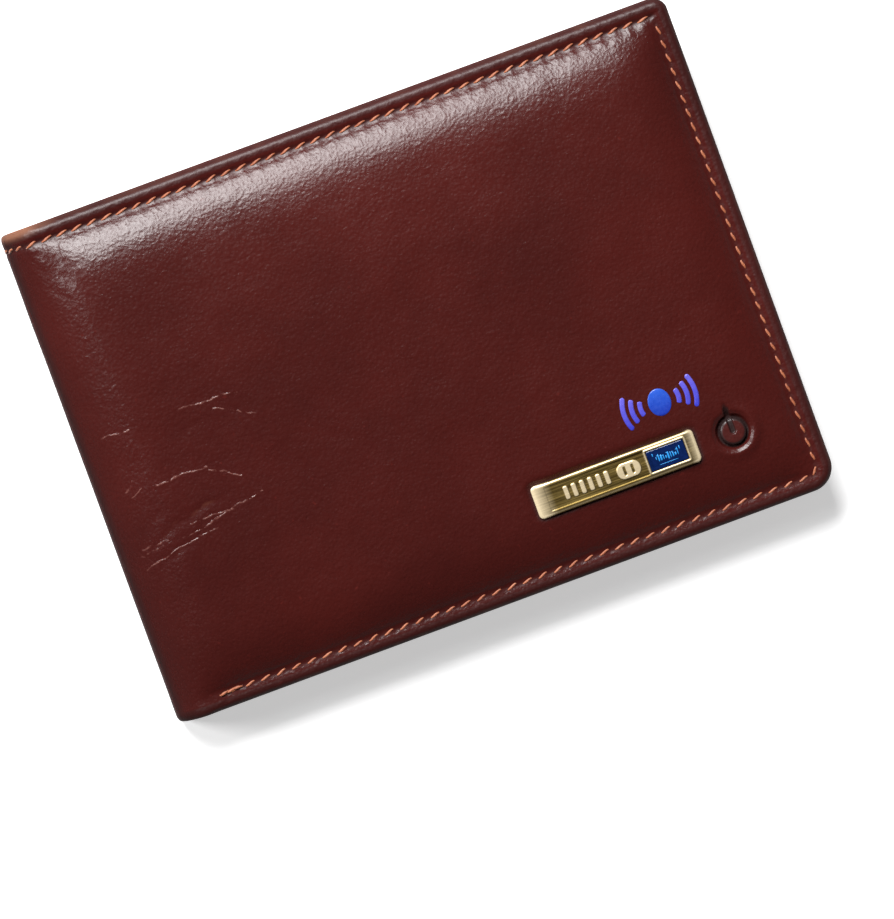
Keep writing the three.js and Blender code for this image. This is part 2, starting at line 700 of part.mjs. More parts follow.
function addBoard(halfNotch, notchY) {
  const board = new THREE.Shape();
  board.moveTo(boardX0, boardY0);
  board.lineTo(boardX1, boardY0);
  board.lineTo(boardX1, boardY1);
  board.lineTo(socketX + halfNotch, boardY1);
  board.lineTo(socketX + halfNotch, notchY);
  board.lineTo(socketX - halfNotch, notchY);
  board.lineTo(socketX - halfNotch, boardY1);
  board.lineTo(boardArmX, boardY1);
  board.lineTo(boardArmX, boardStepY);
  board.lineTo(boardX0, boardStepY);
  addPiece('main_circuit_board', boardGreen, prism(board, boardLow, boardTop));
  const component = (name, look, x, y, length, breadth, height) => {
    const halfX = length / 2;
    const halfY = breadth / 2;
    addPiece(name, look, box(x - halfX, x + halfX, y - halfY, y + halfY, partLow, partLow + height));
  };
  component('bluetooth_chip', chipBlack, boardX0 + 5, boardY0 + 5.2, 5, 5, 0.85);
  component('crystal_oscillator', steel, boardX0 + 11, boardY0 + 7.5, 3.2, 2.5, 0.7);
  component('charge_controller_chip', chipBlack, socketX, notchY - 4.5, 3, 3, 0.75);
  component('chip_antenna', ceramic, boardX1 - 1.6, notchY - 3, 2, 7, 0.8);
  component('battery_connector', whitePlastic, connectorX + 1.25, notchY - 3.5, 2.5, 4, 1.0);
  component('tact_switch_body', steel, buttonX, buttonY, 3.6, 3.6, switchHeight);
  const windowCentre = badgeRight - windowToBadgeEnd - windowLength / 2;
  for (let i = 0; i < 3; i += 1) {
    component(`status_led_${i + 1}`, ledPackage, windowCentre + (i - 1) * 2.15, badgeY, 1.6, 0.8, 0.6);
  }
}

function addBattery(notchY) {
  const x0 = batteryX1 - batteryLength;
  const y0 = batteryY0;
  const y1 = batteryY0 + batteryWidth;
  const low = floorTop + plyGap + tapeThickness + plyGap;
  const cell = prism(evenlyRounded(x0, batteryX1, y0, y1, 1), low, low + batteryThickness);
  addPiece('battery_cell', pouchSilver, cell);
  const tapeLow = floorTop + plyGap;
  const tape = box(x0 + 4, batteryX1 - 4, y0 + 2, y1 - 2, tapeLow, tapeLow + tapeThickness);
  addPiece('battery_adhesive_tape', amberTape, tape);
  const connectorY = notchY - 3.5;
  const leads = [['battery_lead_positive', redWire, 1], ['battery_lead_negative', blackWire, -1]];
  for (const [name, look, side] of leads) {
    const start = new THREE.Vector3(batteryX1 + fitGap, y1 - 4.5 + side * 1.6, low + batteryThickness / 2);
    const end = new THREE.Vector3(connectorX - fitGap, connectorY + side, partLow + 0.5);
    addPiece(name, look, wire(start, end));
  }
}

// A short insulated wire that leaves its start level and rises to its end.
function wire(start, end) {
  const third = new THREE.Vector3((end.x - start.x) / 3, 0, 0);
  const path = new THREE.CubicBezierCurve3(start, start.clone().add(third), end.clone().sub(third), end);
  const section = new THREE.Shape();
  section.absarc(0, 0, leadRadius, 0, 2 * Math.PI);
  return new THREE.ExtrudeGeometry(section, { steps: 8, extrudePath: path, curveSegments: 8 });
}

function addSounder() {
  const low = floorTop + plyGap;
  const top = low + sounderThickness;
  addPiece('sounder_brass_disc', brass, disc(sounderX, sounderY, sounderRadius, low, top));
  const ceramicLow = top + plyGap;
  const wafer = disc(sounderX, sounderY, ceramicRadius, ceramicLow, ceramicLow + ceramicThickness);
  addPiece('sounder_ceramic', ceramic, wafer);
}

// Charging socket: a folded steel shell open at its mouth, with a plastic tongue inside
function addSocket() {
  const y1 = moduleY1;
  const y0 = y1 - socketLength;
  const low = moduleLow + (moduleThickness - socketHeight) / 2;
  const high = low + socketHeight;
  const half = socketWidth / 2;
  const outside = box(socketX - half, socketX + half, y0, y1, low, high);
  const bore = box(
    socketX - half + socketWall, socketX + half - socketWall,
    y0 + socketWall, y1 + 1,
    low + socketWall, high - socketWall,
  );
  addPiece('charging_socket_shell', steel, cut(outside, bore));
  const middle = (low + high) / 2;
  const tongueHalf = half - 3 * socketWall;
  const tongueX0 = socketX - tongueHalf;
  const tongueX1 = socketX + tongueHalf;
  const root = y0 + 2 * socketWall;
  const tongue = box(tongueX0, tongueX1, root, y1 - 1, middle - socketWall, middle + socketWall);
  addPiece('charging_socket_tongue', blackPlastic, tongue);
}

// Power button: a leather cap over the switch's plunger
function addPowerButton() {
  const capTop = coverTop(buttonX, buttonY);
  const capLow = capTop - coverThickness;
  addPiece('power_button_cap', oxblood, disc(buttonX, buttonY, capRadius, capLow, capTop, 32));
  const plungerLow = partLow + switchHeight + buttonTravel + switchGap;
  const plunger = disc(buttonX, buttonY, plungerRadius, plungerLow, capLow - plyGap, 20);
  addPiece('power_button_plunger', blackPlastic, plunger);
}

addBackHalf();
addSpine();
addFrontHalf();
addBadge();
addModule();
addPowerButton();

export default wallet;
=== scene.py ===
import math
import bpy, bmesh
import numpy as np
from mathutils import Euler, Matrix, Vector


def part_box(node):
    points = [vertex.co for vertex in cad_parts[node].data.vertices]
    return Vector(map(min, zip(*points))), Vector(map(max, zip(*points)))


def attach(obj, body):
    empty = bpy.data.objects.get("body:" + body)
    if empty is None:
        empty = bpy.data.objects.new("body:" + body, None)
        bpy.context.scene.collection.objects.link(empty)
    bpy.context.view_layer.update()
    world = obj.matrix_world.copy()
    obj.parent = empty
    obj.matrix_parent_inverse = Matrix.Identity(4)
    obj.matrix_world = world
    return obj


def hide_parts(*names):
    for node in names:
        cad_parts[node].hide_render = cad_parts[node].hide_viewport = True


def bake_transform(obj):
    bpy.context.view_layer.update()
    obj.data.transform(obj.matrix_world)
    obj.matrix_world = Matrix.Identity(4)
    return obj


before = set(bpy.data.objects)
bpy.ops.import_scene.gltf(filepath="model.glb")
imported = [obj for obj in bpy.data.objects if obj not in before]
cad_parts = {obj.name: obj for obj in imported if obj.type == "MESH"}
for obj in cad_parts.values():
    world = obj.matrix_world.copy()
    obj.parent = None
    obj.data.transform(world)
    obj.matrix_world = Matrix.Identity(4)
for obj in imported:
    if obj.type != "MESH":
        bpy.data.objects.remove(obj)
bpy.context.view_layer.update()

# ---- sizes in millimetres, in the CAD frame -------------------------------------------------
MM = 0.001
HALF_W, HALF_H = 59.0, 43.5
CORNER_TOP, CORNER_LOW = 2.2, 4.2      # corner radii at the opening side
LEATHER = 1.3                          # one layer of cover leather
HEM, HEM_WIDTH = 1.0, 5.0              # the turned edge under it
FRONT_Z, HEM_Z = 11.65, 9.35           # front cover's edge level, and the underside of its hem
SWELL = 3.0                            # how far the padded front stands above its edges
SEAM = 2.7                             # stitch line, in from the edge
SPINE_X, SPINE_Z, SPINE_R = -49.23, 3.35, 9.77
SPINE_MID, SPINE_LOW, SPINE_TOP = 19.2, -10.0, 48.5   # degrees round the spine's arc
SHOULDER_X, SHOULDER_Z = (-55.70, -54.6, -52.5), 10.67   # the curve from the arc onto the front
BACK_FLAT_X = -56.7                    # where the back cover lies flat on the table
PITCH_TOP, PITCH_SIDE, PITCH_LOW = 2.65, 2.45, 2.75
TOP_SEAM_START, LOW_SEAM_START = -80, -50.1   # the top seam runs on past the spine
BADGE_MIN, BADGE_MAX, BADGE_CORNER = (9.6, -31.8), (38.5, -26.0), 0.85
BADGE_SEAT, BADGE_TOP = 14.016, 15.016
WINDOW_MIN, WINDOW_MAX = (29.8, -30.7), (36.5, -27.1)
WINDOW_TOP, WINDOW_FOOT = 14.90, 14.37
RIB_FIRST, RIB_STEP, RIB_COUNT = 15.2, 1.45, 6
TAB_MIN, TAB_MAX = (24.3, -30.15), (28.3, -27.65)
PRONG_X, PRONG_Y, PRONG_LOW = (12.2, 27.2), (-30.7, -27.1), 12.62
BUTTON_X, BUTTON_Y, CAP_R, CAP_TOP, CAP_FOOT = 45.0, -29.0, 2.25, 14.1, 13.37
WELL_R, WELL_FLOOR, PLUNGER_HOLE = 2.62, 13.05, 1.2
MARK_X, MARK_Y = 35.0, -20.1
EDGE_ROUND = 1.15
EDGE_INSETS = np.array([0, .07, .27, .57, .85, 1.15, 1.5, 1.85, 2.15, 2.4, 2.7, 3.0, 3.3, 3.65, 4.0,
                        4.4, 4.95, 5.15, 5.6, 6.1, 6.6])
PANEL_INSETS = np.array([0, .06, .2, .38, .6])
PANEL_RIGHT, PANEL_LOW, POCKET_MOUTH = 58.2, -42.7, 37.5
PANEL_CORNER, PANEL_CORNER_R = (54.8, 39.3), 3.4
LINING_THICK, LINING_R, LINING_RIGHT, LINING_HALF_H = 0.33, 8.40, 53.7, 38.2
LINING_LOW_Z, LINING_TOP_Z = 1.36, 9.74
DIVIDER_THICK, DIVIDER_X, DIVIDER_Z, DIVIDER_R = 0.9, -51.6, 5.825, 3.475
FOAM_LEFT, FOAM_Z, MODULE_TOP = -48.68, 9.82, 12.45
MODULE_BAY = (-6.1, -32.9), (48.7, -6.1)       # the module's recess under the foam
BADGE_OPENING = (9.0, -32.8), (48.6, -25.4)    # the foam's opening for the badge and the button
THREAD_R, STITCH_RINGS, STITCH_SIDES = 0.215, 11, 8
BY_FOLD, BUTTON_SPAN = -44, 3.9         # the skins' grids are finer left of this, and round the button
ALL_SHARED, NONE_SHARED = (True,) * 4, (False,) * 4
SPINE_OPEN = (False, True, True, True)  # a skin's row at mid-spine is closed with a strip


# ---- small numeric helpers ------------------------------------------------------------------
def smooth(t):
    t = np.clip(t, 0.0, 1.0)
    return t * t * (3 - 2 * t)


def eased(t, power):
    """Rises quickly from 0 and settles slowly at 1, with a short soft start."""
    t = np.clip(t, 0.0, 1.0)
    return (1 - (1 - t) ** power) * smooth(t / 0.09 + 0.15)


def bell(distance, width):
    """1 on a line, and next to nothing two widths from it."""
    return np.exp(-(distance / width) ** 2)


def quarter_round(t):
    """Height of a rounded edge, from 0 at the rim to 1 where the rounding ends."""
    return np.sqrt(1 - (1 - np.clip(t, 0, 1)) ** 2)


def noise(x, y, cell, seed):
    """Smooth seeded noise from -1 to 1, with features about one cell wide."""
    table = np.random.default_rng(seed).uniform(-1, 1, (256, 256))
    u, v = x / cell + 120, y / cell + 120
    i, j = np.floor(u).astype(int), np.floor(v).astype(int)
    a, b = smooth(u - i), smooth(v - j)
    low = table[i % 256, j % 256] * (1 - a) + table[(i + 1) % 256, j % 256] * a
    high = table[i % 256, (j + 1) % 256] * (1 - a) + table[(i + 1) % 256, (j + 1) % 256] * a
    return low * (1 - b) + high * b


def spaced(a, b, step):
    return np.linspace(a, b, max(1, round(abs(b - a) / step)) + 1)


def merged(*runs):
    values = [runs[0][0]]
    for run in runs:
        for value in run:
            if abs(value - values[-1]) > 1e-6:
                values.append(value)
    return np.array(values)


def framed(low, high, insets, *runs):
    """Grid lines from low to high, close together at both ends, with the runs between them."""
    return merged(low + insets, *runs, high - insets[::-1])


def bezier(p0, p1, p2, count):
    t = np.linspace(0, 1, count)[:, None]
    p0, p1, p2 = map(np.array, (p0, p1, p2))
    return p0 * (1 - t) ** 2 + 2 * p1 * t * (1 - t) + p2 * t * t


def arc_line(x, z, radius, first, last, step):
    """Points of an arc in x, z. Its angles are in degrees, from -x up towards +z."""
    angles = np.radians(spaced(first, last, step))
    return np.stack([x - radius * np.cos(angles), z + radius * np.sin(angles)], -1)


def grid_points(x, y, z):
    return np.stack(np.broadcast_arrays(x, y, z), -1)


def cell_middles(values):
    return (values[:-1, :-1] + values[1:, 1:]) / 2


def bend_corner(x, y, centre, radius, toward):
    """Moves the grid points past a corner's centre so that they fill a quarter of a disc."""
    p = toward[0] * (x - centre[0]) / radius
    q = toward[1] * (y - centre[1]) / radius
    inside = (p > 0) & (q > 0)
    p, q = np.clip(p, 0, 1), np.clip(q, 0, 1)
    bent_x = centre[0] + toward[0] * radius * p * np.sqrt(1 - q * q / 2)
    bent_y = centre[1] + toward[1] * radius * q * np.sqrt(1 - p * p / 2)
    return np.where(inside, bent_x, x), np.where(inside, bent_y, y)


def round_corners(x, y):
    """Rounds the cover's two corners at the opening side."""
    for side, radius in ((1, CORNER_TOP), (-1, CORNER_LOW)):
        x, y = bend_corner(x, y, (HALF_W - radius, side * (HALF_H - radius)), radius, (1, side))
    return x, y


def edge_distance(x, y):
    """Distance in from the cover's outline: top, bottom and opening side."""
    d = np.minimum(HALF_W - x, HALF_H - np.abs(y))
    for sign, radius in ((1, CORNER_TOP), (-1, CORNER_LOW)):
        cx, cy = HALF_W - radius, HALF_H - radius
        p, q = x - cx, sign * y - cy
        corner = radius - np.hypot(np.maximum(p, 0), np.maximum(q, 0))
        d = np.where((p > 0) & (q > 0), corner, d)
    return d


def box_distance(x, y, low, high, radius=0.0):
    """Signed distance from a rounded rectangle in plan."""
    qx = np.abs(x - (low[0] + high[0]) / 2) - (high[0] - low[0]) / 2 + radius
    qy = np.abs(y - (low[1] + high[1]) / 2) - (high[1] - low[1]) / 2 + radius
    outside = np.hypot(np.maximum(qx, 0), np.maximum(qy, 0))
    return outside + np.minimum(np.maximum(qx, qy), 0) - radius


def button_distance(x, y):
    return np.hypot(x - BUTTON_X, y - BUTTON_Y)


def square_grid(count):
    t = np.linspace(-1, 1, count)
    return np.meshgrid(t, t, indexing="ij")


def disc_grid(count):
    """A square grid bent into the unit disc."""
    p, q = square_grid(count)
    return p * np.sqrt(1 - q * q / 2), q * np.sqrt(1 - p * p / 2)


def plate_grid(xs, ys, low, high, radius):
    """A grid over a rectangle with four round corners, and each point's distance in."""
    x, y = np.meshgrid(xs, ys, indexing="ij")
    for sx, edge_x in ((-1, low[0]), (1, high[0])):
        for sy, edge_y in ((-1, low[1]), (1, high[1])):
            x, y = bend_corner(x, y, (edge_x - sx * radius, edge_y - sy * radius), radius, (sx, sy))
    return x, y, -box_distance(x, y, low, high, radius)


# ---- meshes ---------------------------------------------------------------------------------
def mesh_object(name, points, faces, material, **paint):
    mesh = bpy.data.meshes.new(name)
    mesh.from_pydata((np.asarray(points, float) * MM).tolist(), [], faces)
    solid = bmesh.new()
    solid.from_mesh(mesh)
    bmesh.ops.recalc_face_normals(solid, faces=solid.faces)
    solid.to_mesh(mesh)
    solid.free()
    mesh.polygons.foreach_set("use_smooth", [True] * len(mesh.polygons))
    for layer_name, values in paint.items():
        layer = mesh.attributes.new(layer_name, "FLOAT", "POINT")
        layer.data.foreach_set("value", np.asarray(values, np.float32))
    mesh.materials.append(material)
    made = bpy.data.objects.new(name, mesh)
    bpy.context.scene.collection.objects.link(made)
    return made


def grid_shell(outer, inner, shared=ALL_SHARED, hole=None):
    """Points and faces of a closed solid between two grids, and which grid points they use.
    shared says which sides (first row, last row, first column, last column) meet in one line;
    the others are closed with a strip. hole marks cells left out of both grids and walled round."""
    nu, nv = outer.shape[:2]
    top = np.arange(nu * nv).reshape(nu, nv)
    low = top + nu * nv
    for used, where in zip(shared, (np.s_[0, :], np.s_[-1, :], np.s_[:, 0], np.s_[:, -1])):
        if used:
            low[where] = top[where]
    points = np.concatenate([outer.reshape(-1, 3), inner.reshape(-1, 3)])
    keep = np.ones((nu - 1, nv - 1), bool) if hole is None else ~hole
    faces = []

    def quads(a, b, c, d):
        for face in np.stack([a, b, c, d], -1).reshape(-1, 4).tolist():
            ring = list(dict.fromkeys(face))
            if len(ring) > 2:
                faces.append(ring)

    for index in (top, low):
        quads(index[:-1, :-1][keep], index[1:, :-1][keep], index[1:, 1:][keep], index[:-1, 1:][keep])
    rims = [(top[0], low[0]), (top[-1], low[-1]), (top[:, 0], low[:, 0]), (top[:, -1], low[:, -1])]
    for used, (a, b) in zip(shared, rims):
        if not used:
            quads(a[:-1], a[1:], b[1:], b[:-1])
    for axis in (0, 1):
        for i, j in zip(*np.nonzero(np.diff(keep.astype(int), axis=axis))):
            a = (i + 1, j) if axis == 0 else (i, j + 1)
            b = (i + 1, j + 1)
            faces.append([int(top[a]), int(top[b]), int(low[b]), int(low[a])])
    used = np.unique(np.concatenate([np.array(f) for f in faces]))
    order = np.full(len(points), -1)
    order[used] = np.arange(len(used))
    return points[used], [[int(order[k]) for k in f] for f in faces], used


def grid_solid(name, outer, inner, material, shared=ALL_SHARED, hole=None, **paint):
    """A grid shell as an object. paint is wear (on the badge also painted highlight) or painted shade, per
    grid point.
    """
    points, faces, used = grid_shell(outer, inner, shared, hole)
    paint = {key: np.concatenate([value.ravel(), value.ravel()])[used] for key, value in paint.items()}
    return mesh_object(name, points, faces, material, **paint)


def joined(parts):
    """One list of points and one of faces, from those of several parts."""
    points, faces = [], []
    for part_points, part_faces in parts:
        faces += [[k + len(points) for k in face] for face in part_faces]
        points += list(part_points)
    return points, faces


def offset_normals(points):
    """Unit normals of an (n, 2) or (n, m, 2) profile in x, z: to the left of its direction."""
    d = np.gradient(points, axis=0)
    d /= np.linalg.norm(d, axis=-1, keepdims=True)
    return np.stack([-d[..., 1], d[..., 0]], -1)


# ---- the leather's surface ------------------------------------------------------------------
def front_base(x):
    """Height of the front cover's outer face at its edges, from the spine's arc outwards."""
    x0, x1, x2 = SHOULDER_X
    a, b, c = x0 - 2 * x1 + x2, 2 * (x1 - x0), x0 - x
    t = (-b + np.sqrt(np.maximum(b * b - 4 * a * c, 0))) / (2 * a)
    t = np.clip(t, 0, 1)
    return SHOULDER_Z * (1 - t) ** 2 + FRONT_Z * (2 * t * (1 - t) + t * t)


def swell(x, y):
    """How far the padded front rises above its edges: a quick rise, and a slow one inside it."""
    t = np.clip((x - SHOULDER_X[0]) / 10.2, 0, 1)
    shoulder = 1 - (1 - t) ** 3 * (1 + 3 * t)
    near, far = 1.0, 1.0
    for d in (HALF_W - x, HALF_H + y, HALF_H - y):
        near = near * eased((d - 3.1) / 12.4, 3)
        far = far * eased((d - 3.1) / 30, 2)
    return SWELL * shoulder * (0.65 * near + 0.35 * far)


CREASES = [  # start, end, bow, depth of the soft folds in the leather
    ((-55.2, -14.8), (-36.0, -8.9), 0.9, 0.11), ((-53.6, -17.2), (-45.0, -13.5), -0.5, 0.10),
    ((-50.5, -11.4), (-38.5, -10.2), 0.7, 0.07), ((-55.0, -12.0), (-47.5, -8.2), 0.6, 0.06),
    ((-47.5, -16.0), (-40.2, -11.6), 0.4, 0.06), ((-24.6, -3.2), (-12.6, -9.6), 0.5, 0.05),
    ((-27.5, -4.4), (-18.0, -6.4), -0.4, 0.04), ((-43.2, 2.2), (-34.6, 3.6), 0.3, 0.06),
    ((-53.8, 36.9), (-49.6, 31.2), 0.4, 0.12), ((-52.6, 38.2), (-47.2, 34.6), -0.4, 0.10),
    ((-54.6, 33.2), (-51.0, 29.0), 0.3, 0.08),
]
WRINKLES = [  # start and end of each hairline wrinkle, drawn in the leather's material
    ((-55.7, -14.7), (-43.8, -13.2)), ((-43.8, -13.2), (-32.3, -11.0)), ((-55.0, -16.7), (-41.7, -13.9)),
    ((-54.4, -13.7), (-48.4, -13.4)), ((-45.5, -11.7), (-37.6, -12.2)), ((-48.4, -3.9), (-39.7, -3.8)),
    ((-39.4, -4.4), (-34.7, -7.3)), ((-40.7, 6.6), (-30.8, 6.2)), ((-54.5, 6.5), (-50.1, 6.2)),
    ((-35.2, 4.6), (-29.2, 1.7)), ((-54.0, -3.4), (-52.4, -1.9)), ((-53.2, -5.0), (-51.2, -3.6)),
]


def crease_depth(x, y):
    depth = np.zeros_like(x)
    for (ax, ay), (bx, by), bow, size in CREASES:
        length = math.hypot(bx - ax, by - ay)
        tx, ty = (bx - ax) / length, (by - ay) / length
        along = ((x - ax) * tx + (y - ay) * ty) / length
        across = (y - ay) * tx - (x - ax) * ty
        wander = bow * np.sin(math.pi * along) + 0.25 * np.sin(along * 19 + ax)
        taper = smooth(along / 0.25) * smooth((1 - along) / 0.3)
        depth += size * taper * bell(across - wander, 0.42)
    return depth


def seam_depth(x, y):
    """Depth of the sewn channel, with the leather gathered between the needle holes."""
    side = (HALF_W - x) < (HALF_H - np.abs(y))
    pitch = np.where(side, PITCH_SIDE, np.where(y > 0, PITCH_TOP, PITCH_LOW))
    phase = np.cos(2 * math.pi * (np.where(side, y, x) - SEAM) / pitch)
    start = np.where(y > 0, TOP_SEAM_START, LOW_SEAM_START)
    present = np.where(side, 1.0, smooth((x - start + 0.5) / 1.2))
    across = edge_distance(x, y) - SEAM
    tight = np.where(side | (y < 0), 0.40, 1.0)      # the top row is drawn in the most
    channel = tight * bell(across, 0.5) * (0.24 + 0.10 * phase)
    pucker = tight * phase * 0.045 * (bell(across - 1.2, 0.6) + bell(across + 1.1, 0.5))
    return present * (channel + pucker) - 0.10 * bell(across + 1.35, 0.8)


def front_relief(x, y):
    """The hide's unevenness, its folds and its gathered corners, as a height."""
    z = 0.07 * noise(x, y, 9, 3) + 0.035 * noise(x, y, 3.4, 5) + 0.012 * noise(x, y, 1.3, 8)
    z = z * smooth((edge_distance(x, y) - 2.5) / 4) - crease_depth(x, y)
    gather = bell(x + 52.5, 4.5) * bell(y - 38.0, 4.5) + 0.7 * bell(x - 55.0, 3.5) * bell(y - 39.5, 3.0)
    return z + gather * 0.16 * noise(x + 0.6 * y, y * 0.45, 1.25, 11)


def front_surface(x, y, seams=True):
    """Height of the front cover's outer face, which is flat round the badge and the button."""
    z = front_base(x) + swell(x, y) + front_relief(x, y)
    if seams:
        z = z - seam_depth(x, y)
    d = box_distance(x, y, BADGE_MIN, BADGE_MAX, 0.8)
    z = z + (BADGE_SEAT - 0.03 - z) * (1 - smooth((d + 0.05) / 1.3))
    flat = 1 - smooth((button_distance(x, y) - 3.2) / 2.2)
    return z + (CAP_TOP - 0.02 - z) * flat


def front_height(x, y):
    return float(front_surface(np.array([[x]]), np.array([[y]]), seams=False)[0, 0])


def button_bar(x, y):
    """How deep the bar of the power sign is pressed at each point, from 0 to 1."""
    past_end = y - np.clip(y, BUTTON_Y + 0.1, BUTTON_Y + 4.0)
    return 1 - smooth((np.hypot(x - BUTTON_X, past_end) - 0.30) / 0.3)


def press_button(x, y, z):
    """The well round the button's cap, with the bar of the power sign pressed in above it."""
    r = button_distance(x, y)
    z = z - 0.17 * bell(r - 3.2, 0.45) - 0.55 * button_bar(x, y)
    z = z - 0.32 * (1 - smooth((r - WELL_R) / 1.1))
    return z + (WELL_FLOOR - z) * (1 - smooth((r - WELL_R) / 0.42))


# ---- materials ------------------------------------------------------------------------------
class Graph:
    """Short names for the nodes that the materials and the world use."""

    def __init__(self, tree, coordinate):
        self.tree = tree
        self.where = self.node("ShaderNodeTexCoord").outputs[coordinate]

    def node(self, kind, **settings):
        made = self.tree.nodes.new(kind)
        for key, value in settings.items():
            setattr(made, key, value)
        return made

    def link(self, source, target):
        self.tree.links.new(source, target)

    def fill(self, sockets, values):
        """Gives each socket its number or colour, or links it to the value's node."""
        for socket, value in zip(sockets, values):
            if isinstance(value, (int, float)):
                socket.default_value = value
            elif isinstance(value, tuple):
                socket.default_value = (*value, 1) if len(socket.default_value) == 4 else value
            else:
                self.link(value, socket)

    def stretched(self, scale, turn=0.0):
        made = self.node("ShaderNodeMapping")
        made.inputs["Scale"].default_value = scale
        made.inputs["Rotation"].default_value = (0, 0, turn)
        self.link(self.where, made.inputs["Vector"])
        return made.outputs["Vector"]

    def noise(self, scale, detail=4, rough=0.55, where=None, distortion=0.0, output="Fac"):
        made = self.node("ShaderNodeTexNoise")
        names = ("Vector", "Scale", "Detail", "Roughness", "Distortion")
        values = (where or self.where, scale, detail, rough, distortion)
        self.fill([made.inputs[name] for name in names], values)
        return made.outputs[output]

    def cells(self, scale, feature="F1"):
        made = self.node("ShaderNodeTexVoronoi", feature=feature)
        self.fill((made.inputs["Vector"], made.inputs["Scale"]), (self.where, scale))
        return made.outputs["Distance"]

    def wave(self, scale, direction, distortion):
        made = self.node("ShaderNodeTexWave", bands_direction=direction)
        names = ("Vector", "Scale", "Distortion")
        self.fill([made.inputs[name] for name in names], (self.where, scale, distortion))
        return made.outputs["Fac"]

    def span(self, value, low, high, to_low=0.0, to_high=1.0):
        made = self.node("ShaderNodeMapRange")
        names = ("Value", "From Min", "From Max", "To Min", "To Max")
        self.fill([made.inputs[name] for name in names], (value, low, high, to_low, to_high))
        return made.outputs["Result"]

    def axis(self, name):
        made = self.node("ShaderNodeSeparateXYZ")
        self.link(self.where, made.inputs[0])
        return made.outputs[name]

    def math(self, operation, a, b):
        made = self.node("ShaderNodeMath", operation=operation)
        self.fill(made.inputs, (a, b))
        return made.outputs[0]

    def vector(self, operation, a, b=(0, 0, 0)):
        made = self.node("ShaderNodeVectorMath", operation=operation)
        self.fill(made.inputs, (a, b))
        return made.outputs["Value" if operation in ("DOT_PRODUCT", "LENGTH") else "Vector"]


class Shader(Graph):
    """A small builder for one Principled material."""

    def __init__(self, name, **plain):
        self.material = bpy.data.materials.new(name)
        self.material.use_nodes = True
        super().__init__(self.material.node_tree, "Object")
        self.bsdf = self.tree.nodes["Principled BSDF"]
        for key, value in plain.items():
            self.bsdf.inputs[key.replace("_", " ")].default_value = value

    def ramp(self, value, *stops):
        made = self.node("ShaderNodeValToRGB")
        bar = made.color_ramp
        while len(bar.elements) < len(stops):
            bar.elements.new(0.5)
        for element, (place, colour) in zip(bar.elements, stops):
            element.position = place
            element.color = (*colour, 1)
        self.link(value, made.inputs["Fac"])
        return made.outputs["Color"]

    def mix(self, factor, a, b):
        made = self.node("ShaderNodeMix", data_type="RGBA")
        self.fill((made.inputs[0], made.inputs[6], made.inputs[7]), (factor, a, b))
        return made.outputs[2]

    def attribute(self, name):
        return self.node("ShaderNodeAttribute", attribute_name=name).outputs["Fac"]

    def bump(self, height, distance, strength=1.0, before=None):
        made = self.node("ShaderNodeBump")
        names = ("Height", "Distance", "Strength")
        self.fill([made.inputs[name] for name in names], (height, distance, strength))
        if before:
            self.link(before, made.inputs["Normal"])
        return made.outputs["Normal"]

    def hairlines(self, lines, width, wobble, above):
        """A broken, wandering line from each start to its end, on what lies above a height (mm)."""
        shift = self.vector("SUBTRACT", self.noise(260, 5, 0.5, output="Color"), (0.5, 0.5, 0.5))
        place = self.vector("ADD", self.where, self.vector("MULTIPLY", shift, (wobble * MM, wobble * MM, 0)))
        total = 0.0
        for (ax, ay), (bx, by) in lines:
            run = ((bx - ax) * MM, (by - ay) * MM, 0)
            square = run[0] ** 2 + run[1] ** 2
            start = self.vector("SUBTRACT", place, (ax * MM, ay * MM, 0))
            along = self.vector("DOT_PRODUCT", start, (run[0] / square, run[1] / square, 0))
            foot = self.vector("MULTIPLY", self.span(along, 0, 1), run)
            gap = self.vector("MULTIPLY", self.vector("SUBTRACT", start, foot), (1, 1, 0))
            total = self.math("MAXIMUM", self.span(self.vector("LENGTH", gap), 0, width * MM, 1, 0), total)
        broken = self.span(self.noise(620, 3), 0.40, 0.55)
        front = self.span(self.axis("Z"), above * MM, (above + 0.5) * MM)
        return self.math("MULTIPLY", self.math("MULTIPLY", total, broken), front)

    def finish(self, colour, roughness=None, normal=None):
        for key, value in (("Base Color", colour), ("Roughness", roughness), ("Normal", normal)):
            if value is not None:
                self.link(value, self.bsdf.inputs[key])
        return self.material


def scaled(colour, factor):
    return tuple(min(1, c * factor) for c in colour)


